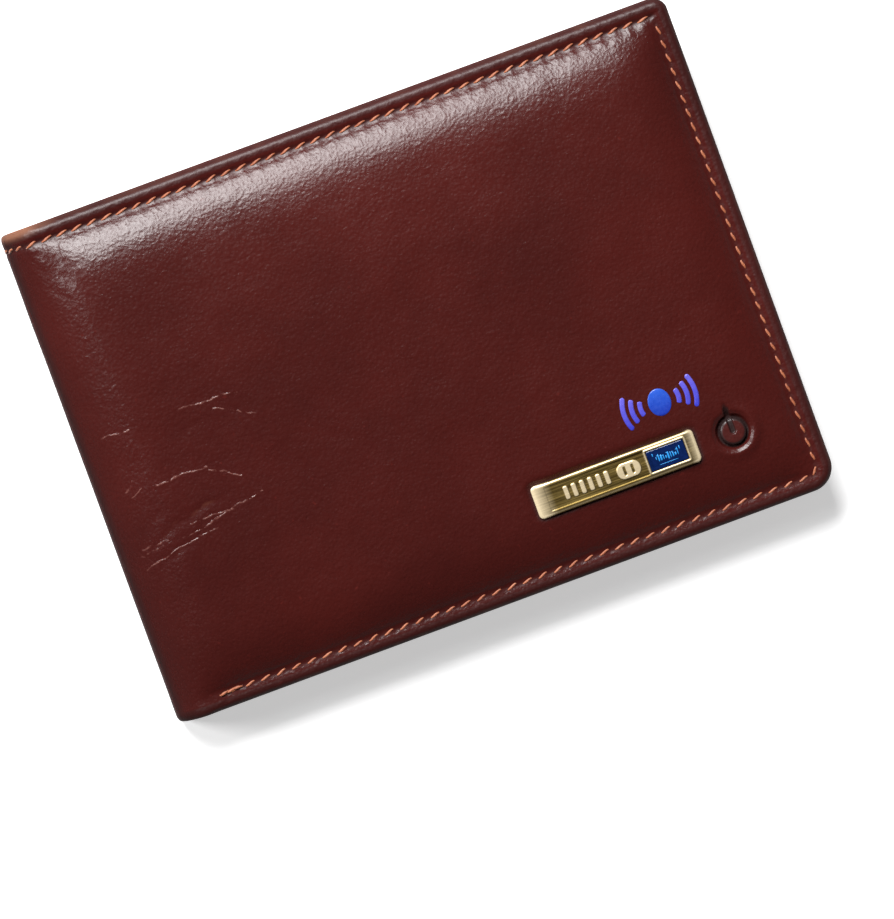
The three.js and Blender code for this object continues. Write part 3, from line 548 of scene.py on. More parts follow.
def leather_material(name, deep, warm, worn, grain=1.0, gloss=0.25, coat=0.06, wrinkles=None):
    """Glazed leather: pebble grain, finer pores, uneven dye, soft wear, hairline scratches, and painted shade
    where the shade paint is high.
    """
    s = Shader(name, Coat_Weight=coat, Coat_Roughness=0.22, Specular_IOR_Level=0.30)
    dye, patches = s.noise(26, 5, 0.6), s.noise(9, 2, 0.5)
    shade = s.attribute("shade")
    colour = s.ramp(s.span(dye, 0.3, 0.7), (0.0, deep), (1.0, warm))
    colour = s.mix(s.span(patches, 0.35, 0.75, 0, 0.5), colour, scaled(deep, 0.72))
    colour = s.mix(s.span(s.cells(1700), 0.0, 0.35, 0.30, 0.0), colour, scaled(deep, 0.45))
    flecks = s.span(s.noise(900, 2, 0.5), 0.70, 0.78, 0, 0.22)
    colour = s.mix(flecks, colour, scaled(warm, 2.2))
    colour = s.mix(s.span(s.attribute("wear"), 0.05, 1.0, 0, 0.55), colour, worn)
    # painted shade: the shade paint darkens the colour here, and further down makes the leather rougher
    colour = s.mix(s.span(shade, 0.0, 1.0, 0, 0.85), colour, scaled(deep, 0.16))
    pebbles = s.cells(1900, "SMOOTH_F1")
    scratch = s.noise(1.0, 3, 0.7, s.stretched((5200, 160, 400), 0.5))
    normal = s.bump(pebbles, 0.00007 * grain, 0.6)
    normal = s.bump(s.noise(1150, 3, 0.55, None, 0.6), 0.00010 * grain, 0.6, normal)
    normal = s.bump(s.noise(4200, 3, 0.6), 0.00002 * grain, 0.5, normal)
    normal = s.bump(s.span(scratch, 0.66, 0.8), 0.00004, 0.35, normal)
    if wrinkles:
        lines = s.hairlines(wrinkles, 0.17, 2.2, 11.0)
        colour = s.mix(s.math("MULTIPLY", lines, 0.36), colour, (0.40, 0.17, 0.14))
        normal = s.bump(lines, 0.00006, 0.8, normal)
    uneven = s.span(dye, 0.3, 0.7, gloss - 0.02, gloss + 0.04)
    rough = s.math("ADD", uneven, s.span(pebbles, 0, 0.7, 0.06, -0.02))
    rough = s.math("ADD", rough, s.span(shade, 0.0, 0.6, 0.0, 0.30))
    return s.finish(colour, rough, normal)


def cloth_material(name, dark, light):
    """Plain woven cloth."""
    s = Shader(name, Sheen_Weight=0.3, Sheen_Roughness=0.5)
    threads, distortion = 1500, 0.4
    weave = s.math("MULTIPLY", s.wave(threads, "X", distortion), s.wave(threads, "Y", distortion))
    shade = s.math("ADD", weave, s.span(s.noise(60, 4), 0.3, 0.7, -0.2, 0.2))
    colour = s.ramp(shade, (0.05, dark), (0.9, light))
    return s.finish(colour, s.span(weave, 0, 1, 0.9, 0.72), s.bump(weave, 0.00008, 0.7))


def metal_material(name, dark, light, brush=(90, 4200, 900), rough=(0.22, 0.42), bump=0.00002):
    """Brushed metal with tarnish in the low places. Where the wear paint is high it is paler and smoother:
    polish, and painted highlight on the badge.
    """
    s = Shader(name)
    lines = s.noise(1.0, 4, 0.65, s.stretched(brush))
    tarnish = s.noise(210, 5, 0.6)
    tone = s.math("ADD", s.span(lines, 0.35, 0.65, 0, 0.6), s.span(tarnish, 0.35, 0.65, 0, 0.4))
    worn = s.attribute("wear")
    # the pale colour of polish and of painted highlight
    polish_and_highlight_colour = tuple(min(0.9, c * 1.55 + 0.33) for c in light)
    colour = s.mix(worn, s.ramp(tone, (0.0, dark), (0.9, light)), polish_and_highlight_colour)
    s.link(s.span(worn, 0, 1, 1.0, 0.35), s.bsdf.inputs["Metallic"])
    roughness = s.math("ADD", s.span(lines, 0.3, 0.7, rough[0], rough[1]), s.math("MULTIPLY", worn, -0.12))
    return s.finish(colour, roughness, s.bump(lines, bump, 0.5))


def moulded_material(name, colour, rough=0.45, grain=2600, depth=0.00003, fleck=0.12, glow=None, clear=0.0):
    """Moulded plastic, resin or ceramic with a fine surface texture. glow is a colour and a strength."""
    s = Shader(name, Transmission_Weight=clear)
    if glow:
        s.bsdf.inputs["Emission Color"].default_value = (*glow[0], 1)
        s.bsdf.inputs["Emission Strength"].default_value = glow[1]
    fine, broad = s.noise(grain, 4, 0.6), s.noise(grain / 14, 3)
    mixed = s.math("ADD", s.span(fine, 0.3, 0.7, 0, 0.5), s.span(broad, 0.3, 0.7, 0, 0.5))
    tone = s.ramp(mixed, (0, scaled(colour, 1 - fleck)), (1, scaled(colour, 1 + fleck)))
    return s.finish(tone, s.span(broad, 0.3, 0.7, rough - 0.06, rough + 0.08), s.bump(fine, depth, 0.5))


def thread_material():
    """Copper-coloured thread: fine fibres, and a slower change of tone along the seams."""
    s = Shader("copper_thread", Sheen_Weight=0.5, Sheen_Roughness=0.35)
    fibre = s.noise(5200, 3, 0.7)
    mixed = s.math("ADD", s.span(fibre, 0.3, 0.7, 0, 0.7), s.span(s.noise(240, 2), 0.3, 0.7, 0, 0.3))
    tone = s.ramp(mixed, (0, (0.19, 0.045, 0.018)), (0.6, (0.37, 0.108, 0.044)), (1, (0.56, 0.28, 0.17)))
    return s.finish(tone, s.span(fibre, 0.3, 0.7, 0.42, 0.62), s.bump(fibre, 0.00004, 0.6))


OXBLOOD = leather_material("oxblood_leather", (0.041, 0.0064, 0.0054), (0.066, 0.0080, 0.0062),
                           (0.42, 0.18, 0.10), wrinkles=WRINKLES)
INNER = leather_material("inner_leather", (0.052, 0.0090, 0.0076), (0.084, 0.0125, 0.0098),
                         (0.30, 0.13, 0.07), 0.8, 0.42, 0.04)
BUTTON_LEATHER = leather_material("button_leather", (0.040, 0.0085, 0.0075), (0.070, 0.0105, 0.0088),
                                  (0.2, 0.09, 0.06), 0.6, 0.28, 0.35)
LINING = cloth_material("woven_lining", (0.012, 0.007, 0.006), (0.060, 0.034, 0.028))
BRASS = metal_material("antique_brass", (0.10, 0.062, 0.015), (0.32, 0.225, 0.07), rough=(0.34, 0.52))
THREAD = thread_material()


# ---- leather skins --------------------------------------------------------------------------
def finish_edges(outer, inner, inset, rounding=EDGE_ROUND):
    """Rounds an edge: both faces close on the middle of the thickness there."""
    middle = (outer + inner) / 2
    full = quarter_round(inset / rounding)[..., None]
    return middle + (outer - middle) * full, middle + (inner - middle) * full


def wear_map(x, y, inset):
    """Where the dye is rubbed: along the turned edges, at the spine's top end, on the folds."""
    rub = bell(inset - 0.25, 0.45) * (0.08 + 0.12 * noise(x, y, 2.2, 21))
    corner = 1.3 * bell(x + 57, 4.5) * bell(y - HALF_H, 1.0)
    folds = 1.2 * crease_depth(x, y) * (0.42 + 0.5 * noise(x, y, 0.9, 31))
    return np.clip(rub + corner + folds, 0, 1)


def front_painted_shade(x, y, inset):
    """Painted shade: darkens the button's well and sign, the seams, the spine, the badge's edge and the rim.
    """
    well = 1 - smooth((button_distance(x, y) - WELL_R + 0.1) / 0.3)
    channel = np.clip(seam_depth(x, y) * 1.6, 0, 0.5)
    badge = 0.6 * bell(box_distance(x, y, BADGE_MIN, BADGE_MAX, 0.8), 0.5)
    spine = 0.45 * smooth((-57.0 - x) / 1.6)
    rim = 0.35 * (inset < 1.6)
    return np.clip(np.maximum.reduce([well, button_bar(x, y), channel, badge, spine, rim]), 0, 1)


def spine_arc(first, last):
    return arc_line(SPINE_X, SPINE_Z, SPINE_R, first, last, math.degrees(0.38 / SPINE_R))


def make_front_skin():
    arc = spine_arc(SPINE_MID, SPINE_TOP)
    count = len(arc) - 1
    left, right = BUTTON_X - BUTTON_SPAN, BUTTON_X + BUTTON_SPAN
    low, high = BUTTON_Y - BUTTON_SPAN, BUTTON_Y + BUTTON_SPAN
    far = HALF_W - EDGE_INSETS[::-1]
    xs = merged(spaced(SHOULDER_X[0], BY_FOLD, 0.4), spaced(BY_FOLD, left, 0.48),
                spaced(left, right, 0.18), spaced(right, far[0], 0.45), far)
    end = EDGE_INSETS[-1] - HALF_H
    ys = framed(-HALF_H, HALF_H, EDGE_INSETS, spaced(end, low, 0.55), spaced(low, high, 0.18),
                spaced(high, -end, 0.55))
    x, y = round_corners(*np.meshgrid(np.concatenate([arc[:-1, 0], xs]), ys, indexing="ij"))
    inset = edge_distance(x, y)
    plain = front_base(x) + swell(x, y)
    shown = press_button(x, y, front_surface(x, y))
    plain[:count] = shown[:count] = arc[:-1, 1][:, None]
    normal = offset_normals(np.stack([x, plain], -1))
    outer = grid_points(x, y, shown)
    relief = 0.02 * noise(y, plain * 2, 2.2, 41) - seam_depth(x, y)
    outer[:count, :, 0::2] += (normal * relief[..., None])[:count]
    bent = grid_points(x, y, plain)
    bent[..., 0::2] -= normal * LEATHER
    hem = smooth((HEM_WIDTH + 0.1 - inset) / 0.15)
    level = grid_points(x, y, (plain - LEATHER) * (1 - hem) + HEM_Z * hem)
    near = smooth((x - SHOULDER_X[1]) / 3.2)[..., None]
    outer, inner = finish_edges(outer, bent * (1 - near) + level * near, inset)
    # the shade paint is painted shade, darkening the leather's colour
    skin = grid_solid("front_leather_skin", outer, inner, OXBLOOD, SPINE_OPEN,
                      cell_middles(button_distance(x, y)) < PLUNGER_HOLE,
                      wear=wear_map(x, y, inset), shade=front_painted_shade(x, y, inset))
    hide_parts("front_cover_leather", "spine_leather")
    return skin


def back_profile():
    """The back skin's outer line in x, z, and how many of its points lie before the flat part.
    It runs from mid-spine down round the fold and out along the table."""
    arc = spine_arc(SPINE_MID, SPINE_LOW)
    turn = bezier(arc[-1], (-58.56, 0.0), (BACK_FLAT_X, 0.0), 12)
    far = HALF_W - EDGE_INSETS[::-1]
    xs = merged(spaced(BACK_FLAT_X, BY_FOLD, 0.5), spaced(BY_FOLD, far[0], 0.62), far)
    flat = np.stack([xs, np.zeros_like(xs)], -1)
    return np.concatenate([arc[:-1], turn[:-1], flat]), len(arc) + len(turn) - 2


def make_back_skin():
    line, count = back_profile()
    end = EDGE_INSETS[-1] - HALF_H
    ys = framed(-HALF_H, HALF_H, EDGE_INSETS, spaced(end, -end, 0.62))
    x, y = round_corners(*np.meshgrid(line[:, 0], ys, indexing="ij"))
    z = np.repeat(line[:, 1][:, None], len(ys), 1)
    inset = edge_distance(x, y)
    inward = offset_normals(np.stack([x, z], -1))
    relief = np.maximum(seam_depth(x, y), 0)
    relief = relief + np.maximum(0, 0.05 + 0.05 * noise(x, y, 7, 51)) * smooth((inset - 2) / 4)
    outer, inner = grid_points(x, y, z), grid_points(x, y, z)
    outer[..., 0::2] += inward * relief[..., None]
    hem = smooth((HEM_WIDTH + 0.1 - inset) / 0.15) * smooth((x + 56.2) / 2.5)
    hem[:count] = 0
    inner[..., 0::2] += inward * (LEATHER + HEM * hem)[..., None]
    outer, inner = finish_edges(outer, inner, inset)
    skin = grid_solid("back_leather_skin", outer, inner, OXBLOOD, SPINE_OPEN,
                      wear=wear_map(x, y, inset) * 0.8)
    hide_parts("back_cover_leather")
    return skin


def fold_front(piece):
    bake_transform(piece)


def fold_back(piece):
    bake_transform(piece)


# ---- stitches -------------------------------------------------------------------------------
class StitchRow:
    """Points and faces of a row of two-ply stitches, each diving into its needle holes."""

    def __init__(self, dip=0.55, radius=THREAD_R):
        self.dip, self.radius = dip, radius
        self.points, self.faces = [], []

    def add(self, centre, along, up, length):
        along, up = np.array(along, float), np.array(up, float)
        along /= np.linalg.norm(along)
        side = np.cross(up, along)
        side /= np.linalg.norm(side)
        up = np.cross(along, side)
        first = len(self.points)
        theta = np.arange(STITCH_SIDES) * 2 * math.pi / STITCH_SIDES
        for t in np.linspace(-1, 1, STITCH_RINGS):
            middle = np.array(centre) + along * t * length / 2 - up * self.dip * abs(t) ** 3.2
            ply = 1 + 0.20 * np.cos(2 * (theta - 2.6 * t))
            r = self.radius * ply * (1 - 0.45 * abs(t) ** 4)
            ring = middle + np.outer(r * np.cos(theta), side) + np.outer(r * np.sin(theta), up)
            self.points.extend(ring)
        rings = first + np.arange(STITCH_RINGS * STITCH_SIDES).reshape(STITCH_RINGS, STITCH_SIDES)
        for a, above in zip(rings[:-1], rings[1:]):
            self.faces += np.stack([a, np.roll(a, -1), np.roll(above, -1), above], -1).tolist()
        self.faces += [rings[0].tolist()[::-1], rings[-1].tolist()]

    def lay(self, centre, heading, up, length):
        """Adds a stitch that lies level, with its heading in degrees."""
        turn = math.radians(heading)
        self.add(centre, (math.cos(turn), math.sin(turn), 0), up, length)

    def round_spine(self, *degrees):
        """Adds stitches of the top row where it goes on round the spine."""
        r = SPINE_R - 0.12
        for a in np.radians(degrees):
            centre = (SPINE_X - r * math.cos(a), HALF_H - SEAM, SPINE_Z + r * math.sin(a))
            self.add(centre, (math.sin(a), 0.36, math.cos(a)), (-math.cos(a), 0, math.sin(a)), 2.1)

    def made(self, name):
        return mesh_object(name, self.points, self.faces, THREAD)


def seam_run(start, stop, pitch):
    """Middles of the stitches of one row, with its needle holes where seam_depth gathers them."""
    first = SEAM + pitch * math.ceil((start - SEAM) / pitch)
    return np.arange(first + pitch / 2, stop, pitch)


def seam_places(top_start, low_start):
    """The stitches along the three sewn sides: x, y, heading in degrees and length."""
    seam_x, seam_y = HALF_W - SEAM, HALF_H - SEAM
    places = [(x, seam_y, 0.0, PITCH_TOP) for x in seam_run(top_start, seam_x - 0.4, PITCH_TOP)]
    side = seam_run(1.0 - seam_y - PITCH_SIDE, seam_y - 0.6, PITCH_SIDE)
    places += [(seam_x, y, 90.0, PITCH_SIDE) for y in side if y > 0.9 - seam_y]
    places += [(x, -seam_y, 0.0, PITCH_LOW) for x in seam_run(low_start, seam_x - 0.9, PITCH_LOW)]
    places.append((seam_x - 0.55, -seam_y + 0.6, 45.0, PITCH_SIDE))
    return places


def make_front_stitches():
    stitches = StitchRow()
    rng = np.random.default_rng(17)
    for x, y, heading, pitch in seam_places(-57.0, LOW_SEAM_START):
        slant = 11 if heading else 19                # the thread lies over more on the long rows
        turn = heading + slant + rng.uniform(-4, 4)
        slope = front_height(x + 0.5, y) - front_height(x - 0.5, y)
        up = (0, 0, 1) if heading else (-slope, 0, 1)
        stitches.lay((x, y, front_height(x, y) - 0.12), turn, up, pitch * rng.uniform(0.90, 1.02))
    stitches.round_spine(24.0, 39.5)
    back_tack = ((0.3, 0.0, 6, 2.4), (1.5, 0.12, -4, 2.2), (-0.9, -0.05, 12, 2.0))
    for k, (dx, dy, heading, length) in enumerate(back_tack):
        x, y = LOW_SEAM_START + 0.9 + dx, SEAM - HALF_H + dy
        stitches.lay((x, y, front_height(x, y) + 0.05 + 0.07 * k), heading, (0, 0, 1), length)
    row = stitches.made("front_needle_stitches")
    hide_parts("front_needle_thread", "spine_needle_thread")
    return row


def make_back_stitches():
    stitches = StitchRow()
    rng = np.random.default_rng(19)
    for x, y, heading, pitch in seam_places(-56.0, LOW_SEAM_START):
        turn = heading - 20 + rng.uniform(-5, 5)
        stitches.lay((x, y, 0.30), turn, (0, 0, -1), pitch * rng.uniform(0.78, 0.90))
    stitches.round_spine(8.0, -6.0)
    row = stitches.made("back_needle_stitches")
    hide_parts("back_needle_thread")
    return row


def make_inner_stitches(name, node, body, levels, up):
    """The bobbin side of the seams, on whatever layer is uppermost at each stitch."""
    stitches = StitchRow(0.35, 0.17)
    rng = np.random.default_rng(23)
    for x, y, heading, pitch in seam_places(-46.0, -46.0):
        z = next(level for mouth, left, level in levels if y < mouth and x > left)
        turn = heading - up * 14 + rng.uniform(-4, 4)
        stitches.lay((x, y, z + up * 0.02), turn, (0, 0, up), pitch * rng.uniform(0.62, 0.72))
    row = stitches.made(name)
    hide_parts(node)
    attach(row, body)


# ---- badge ----------------------------------------------------------------------------------
def raised(distance):
    """Height of a raised shape at each point, from 0 to 1, by its distance from the outline."""
    return 1 - smooth((distance + 0.02) / 0.14)


def badge_relief(x, y):
    """Raised ribs and a small tab where the photo's plate has lettering, as 0..1 heights."""
    high = np.zeros_like(x)
    for k in range(RIB_COUNT):
        centre = RIB_FIRST + k * RIB_STEP
        rib = box_distance(x, y, (centre - 0.33, -29.95), (centre + 0.33, -27.85), 0.2)
        high = np.maximum(high, raised(rib))
    tab = raised(box_distance(x, y, TAB_MIN, TAB_MAX, 1.1))
    for centre in (25.6, 27.0):
        slit = box_distance(x, y, (centre - 0.16, -29.6), (centre + 0.16, -28.2), 0.1)
        tab = tab * smooth(slit / 0.14)
    return np.maximum(high, tab)


def badge_lines(axis, window_step):
    """The plate's grid lines along one axis: fine, with window_step between those at the window."""
    insets, step = np.array([0, .03, .1, .2, .32, .45, .6]), 0.075
    low, high = BADGE_MIN[axis], BADGE_MAX[axis]
    window_low, window_high = WINDOW_MIN[axis], WINDOW_MAX[axis]
    return framed(low, high, insets, spaced(low + 0.6, window_low, step),
                  spaced(window_low, window_high, window_step), spaced(window_high, high - 0.6, step))


def make_badge():
    x, y, inset = plate_grid(badge_lines(0, 0.3), badge_lines(1, 0.075), BADGE_MIN, BADGE_MAX, BADGE_CORNER)
    relief = badge_relief(x, y)
    frame_line = bell(box_distance(x, y, WINDOW_MIN, WINDOW_MAX) - 0.22, 0.16)
    left_end = np.clip(1 - (x - BADGE_MIN[0]) / 3.4, 0, 1)
    right_end = np.clip(1 - (BADGE_MAX[0] - x) / 1.8, 0, 1)
    bent = 0.45 * (left_end ** 2 + 0.6 * right_end ** 2)     # the plate's ends curve down
    top = BADGE_TOP - 0.13 - bent + 0.12 * relief + 0.10 * frame_line
    field = (inset > 0.75) & (x > BADGE_MIN[0] + 2.2) & (x < WINDOW_MIN[0] - 0.3)
    top = top - 0.05 * np.where(field, smooth((inset - 0.75) / 0.2), 0)
    foot = BADGE_SEAT + 0.02
    side = foot + 0.35                               # where the rounded edge starts
    z = side + (top - side) * quarter_round(inset / 0.55)
    outer, inner = grid_points(x, y, z), grid_points(x, y, np.where(inset <= 1e-6, z, foot))
    hole = box_distance(cell_middles(x), cell_middles(y), WINDOW_MIN, WINDOW_MAX) < 0
    # wear here is polish on the ribs, the tab and the window's frame, and painted highlight on the plate's
    # ends and its rim
    polish_and_painted_highlight = 0.85 * relief + 0.8 * frame_line + 1.1 * (left_end + right_end) + 0.5 * bell(inset - 0.34, 0.14)
    plate = grid_solid("brass_badge_plate", outer, inner, BRASS, ALL_SHARED, hole, wear=np.clip(polish_and_painted_highlight, 0, 1))
    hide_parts("badge_plate")
    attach(plate, "front_half")
    prongs = [(px, py) for px in PRONG_X for py in PRONG_Y]
    for k, (px, py) in enumerate(prongs):
        make_prong(f"badge_prong_{k + 1}", px, py)


def make_prong(name, px, py):
    """One of the plate's tabs, bent over under the clamp plate."""
    u, v = square_grid(9)
    x, y = px + 0.6 * u * (1 - 0.12 * v * v), py + 0.25 * v * (1 - 0.12 * u * u)
    outer = grid_points(x, y, BADGE_SEAT + 0.05)
    inner = grid_points(x, y, PRONG_LOW + 0.12 * (u * u + v * v))
    prong = grid_solid(name, outer, inner, BRASS, NONE_SHARED)
    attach(prong, "front_half")


def make_window():
    glass = moulded_material("blue_glass", (0.003, 0.011, 0.060), 0.10, 900, 0.000004, 0.6,
                             ((0.001, 0.014, 0.10), 0.06))
    (left, bottom), (right, top) = WINDOW_MIN, WINDOW_MAX
    low, high = (left + 0.05, bottom + 0.05), (right - 0.05, top - 0.05)
    insets = np.array([0, .03, .08, .16, .3])
    xs, ys = (framed(a, b, insets, spaced(a + 0.3, b - 0.3, 0.15)) for a, b in zip(low, high))
    x, y, inset = plate_grid(xs, ys, low, high, 0.25)
    dome = WINDOW_TOP - 0.10 * (1 - quarter_round(inset / 0.3))
    outer = grid_points(x, y, dome - 0.05 * bell(inset - 0.55, 0.09))
    inner = grid_points(x, y, np.where(inset <= 1e-6, dome, WINDOW_FOOT))
    pane = grid_solid("blue_window_glass", outer, inner, glass)
    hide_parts("badge_window")
    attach(pane, "front_half")


def window_mark(x, y, half_x, half_y):
    """A small raised mark with soft corners, standing on the window's glass."""
    p, q = square_grid(7)
    u, v = disc_grid(7)
    x, y = x + half_x * (0.4 * u + 0.6 * p), y + half_y * (0.4 * v + 0.6 * q)
    height = WINDOW_TOP + 0.05 * np.sqrt(1 - np.maximum(np.abs(p), np.abs(q)) ** 4)
    foot = grid_points(x, y, WINDOW_TOP - 0.04)
    return grid_shell(grid_points(x, y, height), foot, NONE_SHARED)[:2]


def make_window_marks():
    """A row of bars with a line, two ticks and some dashes, in place of the photo's lit sign."""
    glow = moulded_material("lit_blue_marks", (0.02, 0.20, 0.50), 0.25, 2400, 0.00001, 0.3,
                            ((0.02, 0.25, 0.60), 0.35))
    cx, cy = (WINDOW_MIN[0] + WINDOW_MAX[0]) / 2, (WINDOW_MIN[1] + WINDOW_MAX[1]) / 2
    rng = np.random.default_rng(5)
    marks = [(cx - 1.9 + 0.42 * k, cy + rng.uniform(-0.12, 0.22), 0.08 + 0.035 * (k % 3),
              0.26 + 0.13 * (k * 7 % 4)) for k in range(10)]
    marks += [(cx, cy - 1.05, 1.7, 0.05), (cx - 2.35, cy + 0.9, 0.09, 0.24), (cx + 2.35, cy + 0.7, 0.09, 0.3)]
    marks += [(cx + 0.85 * k - 1.6, cy + 0.55 - 0.2 * (k % 2), 0.22, 0.07) for k in range(5)]
    lit = mesh_object("window_lit_marks", *joined([window_mark(*mark) for mark in marks]), glow)
    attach(lit, "front_half")


# ---- power button and printed mark ----------------------------------------------------------
def make_button():
    u, v = disc_grid(61)
    x, y = BUTTON_X + CAP_R * u, BUTTON_Y + CAP_R * v
    r = np.hypot(u, v)
    bar = button_bar(x, y)
    top = CAP_TOP - 0.38 + 0.36 * quarter_round((1 - r) / 0.28) - 0.05 * r * r
    top = top - 0.40 * bar * smooth((1.02 - r) / 0.1) + 0.012 * noise(x, y, 0.7, 61)
    outer = grid_points(x, y, top)
    inner = grid_points(x, y, np.where(r >= 1 - 1e-6, top, CAP_FOOT))
    # painted shade: the cap is darker in the sign's bar and round its rounded rim, as shade in the groove
    shade = np.clip(bar + smooth((r - 0.76) / 0.15), 0, 1)
    cap = grid_solid("power_button_leather_cap", outer, inner, BUTTON_LEATHER, shade=shade)
    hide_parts("power_button_cap")
    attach(cap, "power_button")


def printed(name, x, y, material):
    """A thin printed film that follows the leather, and is thinnest along its edge."""
    z = front_surface(x, y)
    film = np.full_like(z, 0.015)
    film[1:-1, 1:-1] = 0.05
    outer, inner = grid_points(x, y, z + film), grid_points(x, y, z - 0.02)
    piece = grid_solid(name, outer, inner, material, NONE_SHARED)
    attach(piece, "front_half")


def ink_material(name, near, far, reach):
    """Glossy printed ink, fading from one blue to another along y over the mark's reach."""
    s = Shader(name, Coat_Weight=0.4, Coat_Roughness=0.15)
    fade = s.span(s.axis("Y"), (MARK_Y - reach) * MM, (MARK_Y + reach) * MM)
    tone = s.ramp(s.math("ADD", fade, s.span(s.noise(900, 3), 0.3, 0.7, -0.08, 0.08)), (0, near), (1, far))
    return s.finish(tone, s.span(s.noise(1800, 3), 0.3, 0.7, 0.3, 0.45), s.bump(s.cells(1150), 0.00004, 0.4))


def make_mark():
    dot = ink_material("blue_dot_ink", (0.006, 0.022, 0.30), (0.02, 0.095, 0.55), 2.4)
    arcs = ink_material("wave_arc_ink", (0.03, 0.035, 0.45), (0.13, 0.11, 0.60), 2.8)
    u, v = disc_grid(25)
    printed("printed_blue_dot", MARK_X + 1.95 * u, MARK_Y + 2.35 * v, dot)
    across, along = np.meshgrid(np.linspace(-0.42, 0.42, 7), np.linspace(-1, 1, 31), indexing="ij")
    rounded = np.sqrt(np.clip(1 - np.clip((np.abs(along) - 0.86) / 0.14, 0, 1) ** 2, 0.02, 1))
    for side, word in ((1, "right"), (-1, "left")):
        for k, (radius, half_angle) in enumerate(((3.35, 22), (4.85, 25), (6.3, 27))):
            angle = np.radians(half_angle) * along
            r = radius + across * rounded
            x, y = MARK_X + side * r * np.cos(angle), MARK_Y + r * np.sin(angle)
            printed(f"printed_wave_{word}_{k + 1}", x, y, arcs)


# ---- inside: linings, foam, dividers and pockets --------------------------------------------
def round_panel(x, y):
    """A panel's corners at the opening edge, cut to follow the cover's round corners."""
    for side in (-1, 1):
        x, y = bend_corner(x, y, (PANEL_CORNER[0], side * PANEL_CORNER[1]), PANEL_CORNER_R, (1, side))
    return x, y


def slab(name, line, thickness, y_low, y_high, material, ends=(True, True), both=None, face=None):
    """A thin closed sheet along a profile in x, z. It stands to the left of the profile's
    direction; both moves its two faces together, and face carves the far one."""
    ys = framed(y_low, y_high, PANEL_INSETS, spaced(y_low + 0.6, y_low + 3.6, 0.5),
                spaced(y_low + 3.6, y_high - 3.2, 1.2), spaced(y_high - 3.2, y_high - 0.6, 0.25))
    run = np.concatenate([[0], np.cumsum(np.hypot(*np.diff(line, axis=0).T))])
    flat_x, flat_y = np.meshgrid(line[:, 0], ys, indexing="ij")
    x, y = round_panel(flat_x, flat_y)
    normal = offset_normals(line)[:, None, :]
    near = grid_points(x, y, line[:, 1][:, None])
    if both is not None:
        near[..., 0::2] += normal * both(x, y)[..., None]
    far = near.copy()
    far[..., 0::2] += normal * thickness
    if face is not None:
        far[..., 0::2] -= normal * face(x, y)[..., None]
    inset = np.minimum(flat_y - y_low, y_high - flat_y)
    for used, along in zip(ends, (run, run[-1] - run)):
        if used:
            inset = np.minimum(inset, along[:, None])
    wear = np.clip(0.5 * bell(inset, 0.35) * (0.6 + 0.5 * noise(x, y, 3, 71)), 0, 1)
    far, near = finish_edges(far, near, inset, min(0.5, thickness * 0.6))
    return grid_solid(name, far, near, material, (ends[0], ends[1], True, True), wear=wear)


def panel_line(x_low, x_high, z):
    """The x, z profile of a flat panel, close at its ends."""
    xs = framed(x_low, x_high, PANEL_INSETS, spaced(x_low + 0.6, x_high - 3.6, 1.2),
                spaced(x_high - 3.6, x_high - 0.6, 0.5))
    return np.stack([xs, np.full_like(xs, z)], -1)


def tooled(y_mouth):
    """Carved lines across a pocket's mouth: a pressed line, and a faint second one."""
    def carve(x, y):
        lines = 0.14 * bell(y - y_mouth + 1.7, 0.22) + 0.06 * bell(y - y_mouth + 2.5, 0.18)
        return lines + 0.02 + 0.015 * noise(x, y, 6, 81)
    return carve


def make_panel(name, node, body, facing_up):
    """A leather panel in the place of its CAD node."""
    low, high = (np.array(c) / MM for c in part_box(node))
    line = panel_line(low[0], high[0], low[2]) if facing_up else panel_line(low[0], high[0], high[2])[::-1]
    piece = slab(name, line, high[2] - low[2], low[1], high[1], INNER, face=tooled(high[1]))
    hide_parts(node)
    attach(piece, body)


def lining_ripple(x, y):
    return 0.03 * noise(x, y, 8, 91) * smooth((LINING_HALF_H - np.abs(y)) / 4)


def lining_line(last_angle, bend_x, flat_x, z):
    """A lining's profile: round inside the spine from its middle, then out along its half."""
    arc = arc_line(SPINE_X, SPINE_Z, LINING_R, SPINE_MID, last_angle, 2.5)
    turn = bezier(arc[-1], (bend_x, z), (flat_x, z), 9)
    return np.concatenate([arc[:-1], turn[:-1], panel_line(flat_x, LINING_RIGHT, z)])


def make_linings():
    """The woven linings run on across the fold, in one half each side of the spine's middle."""
    line = lining_line(-1.8, -57.2, -54.45, LINING_LOW_Z)
    back = slab("back_lining_cloth", line, LINING_THICK, -LINING_HALF_H, LINING_HALF_H, LINING,
                (False, True), lining_ripple)
    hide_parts("back_lining")
    line = lining_line(40.3, -54.84, -51.08, LINING_TOP_Z)[::-1]
    front = slab("front_lining_cloth", line, LINING_THICK, -LINING_HALF_H, LINING_HALF_H, LINING,
                 (True, False), lining_ripple)
    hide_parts("front_lining", "spine_lining")
    fold_back(back)
    fold_front(front)


def divider_line(side):
    """Half of the divider's profile: a quarter of its fold, then out. side is -1 below, 1 above."""
    arc = arc_line(DIVIDER_X, DIVIDER_Z, DIVIDER_R, 0, side * 90, 9)
    flat = panel_line(DIVIDER_X, PANEL_RIGHT, DIVIDER_Z + side * DIVIDER_R)
    return np.concatenate([arc[:-1], flat])


def make_dividers():
    """The bill divider: two flat sides and the fold between them."""
    low = slab("bill_divider_lower", divider_line(-1), DIVIDER_THICK, PANEL_LOW, POCKET_MOUTH, INNER,
               (False, True), None, tooled(POCKET_MOUTH))
    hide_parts("bill_divider_back", "bill_divider_fold")
    high = slab("bill_divider_upper", divider_line(1)[::-1], DIVIDER_THICK, PANEL_LOW, POCKET_MOUTH, INNER,
                (True, False), None, tooled(POCKET_MOUTH))
    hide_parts("bill_divider_front")
    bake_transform(low)
    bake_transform(high)


def inside(x, y, box):
    (left, bottom), (right, top) = box
    return (x > left) & (x < right) & (y > bottom) & (y < top)


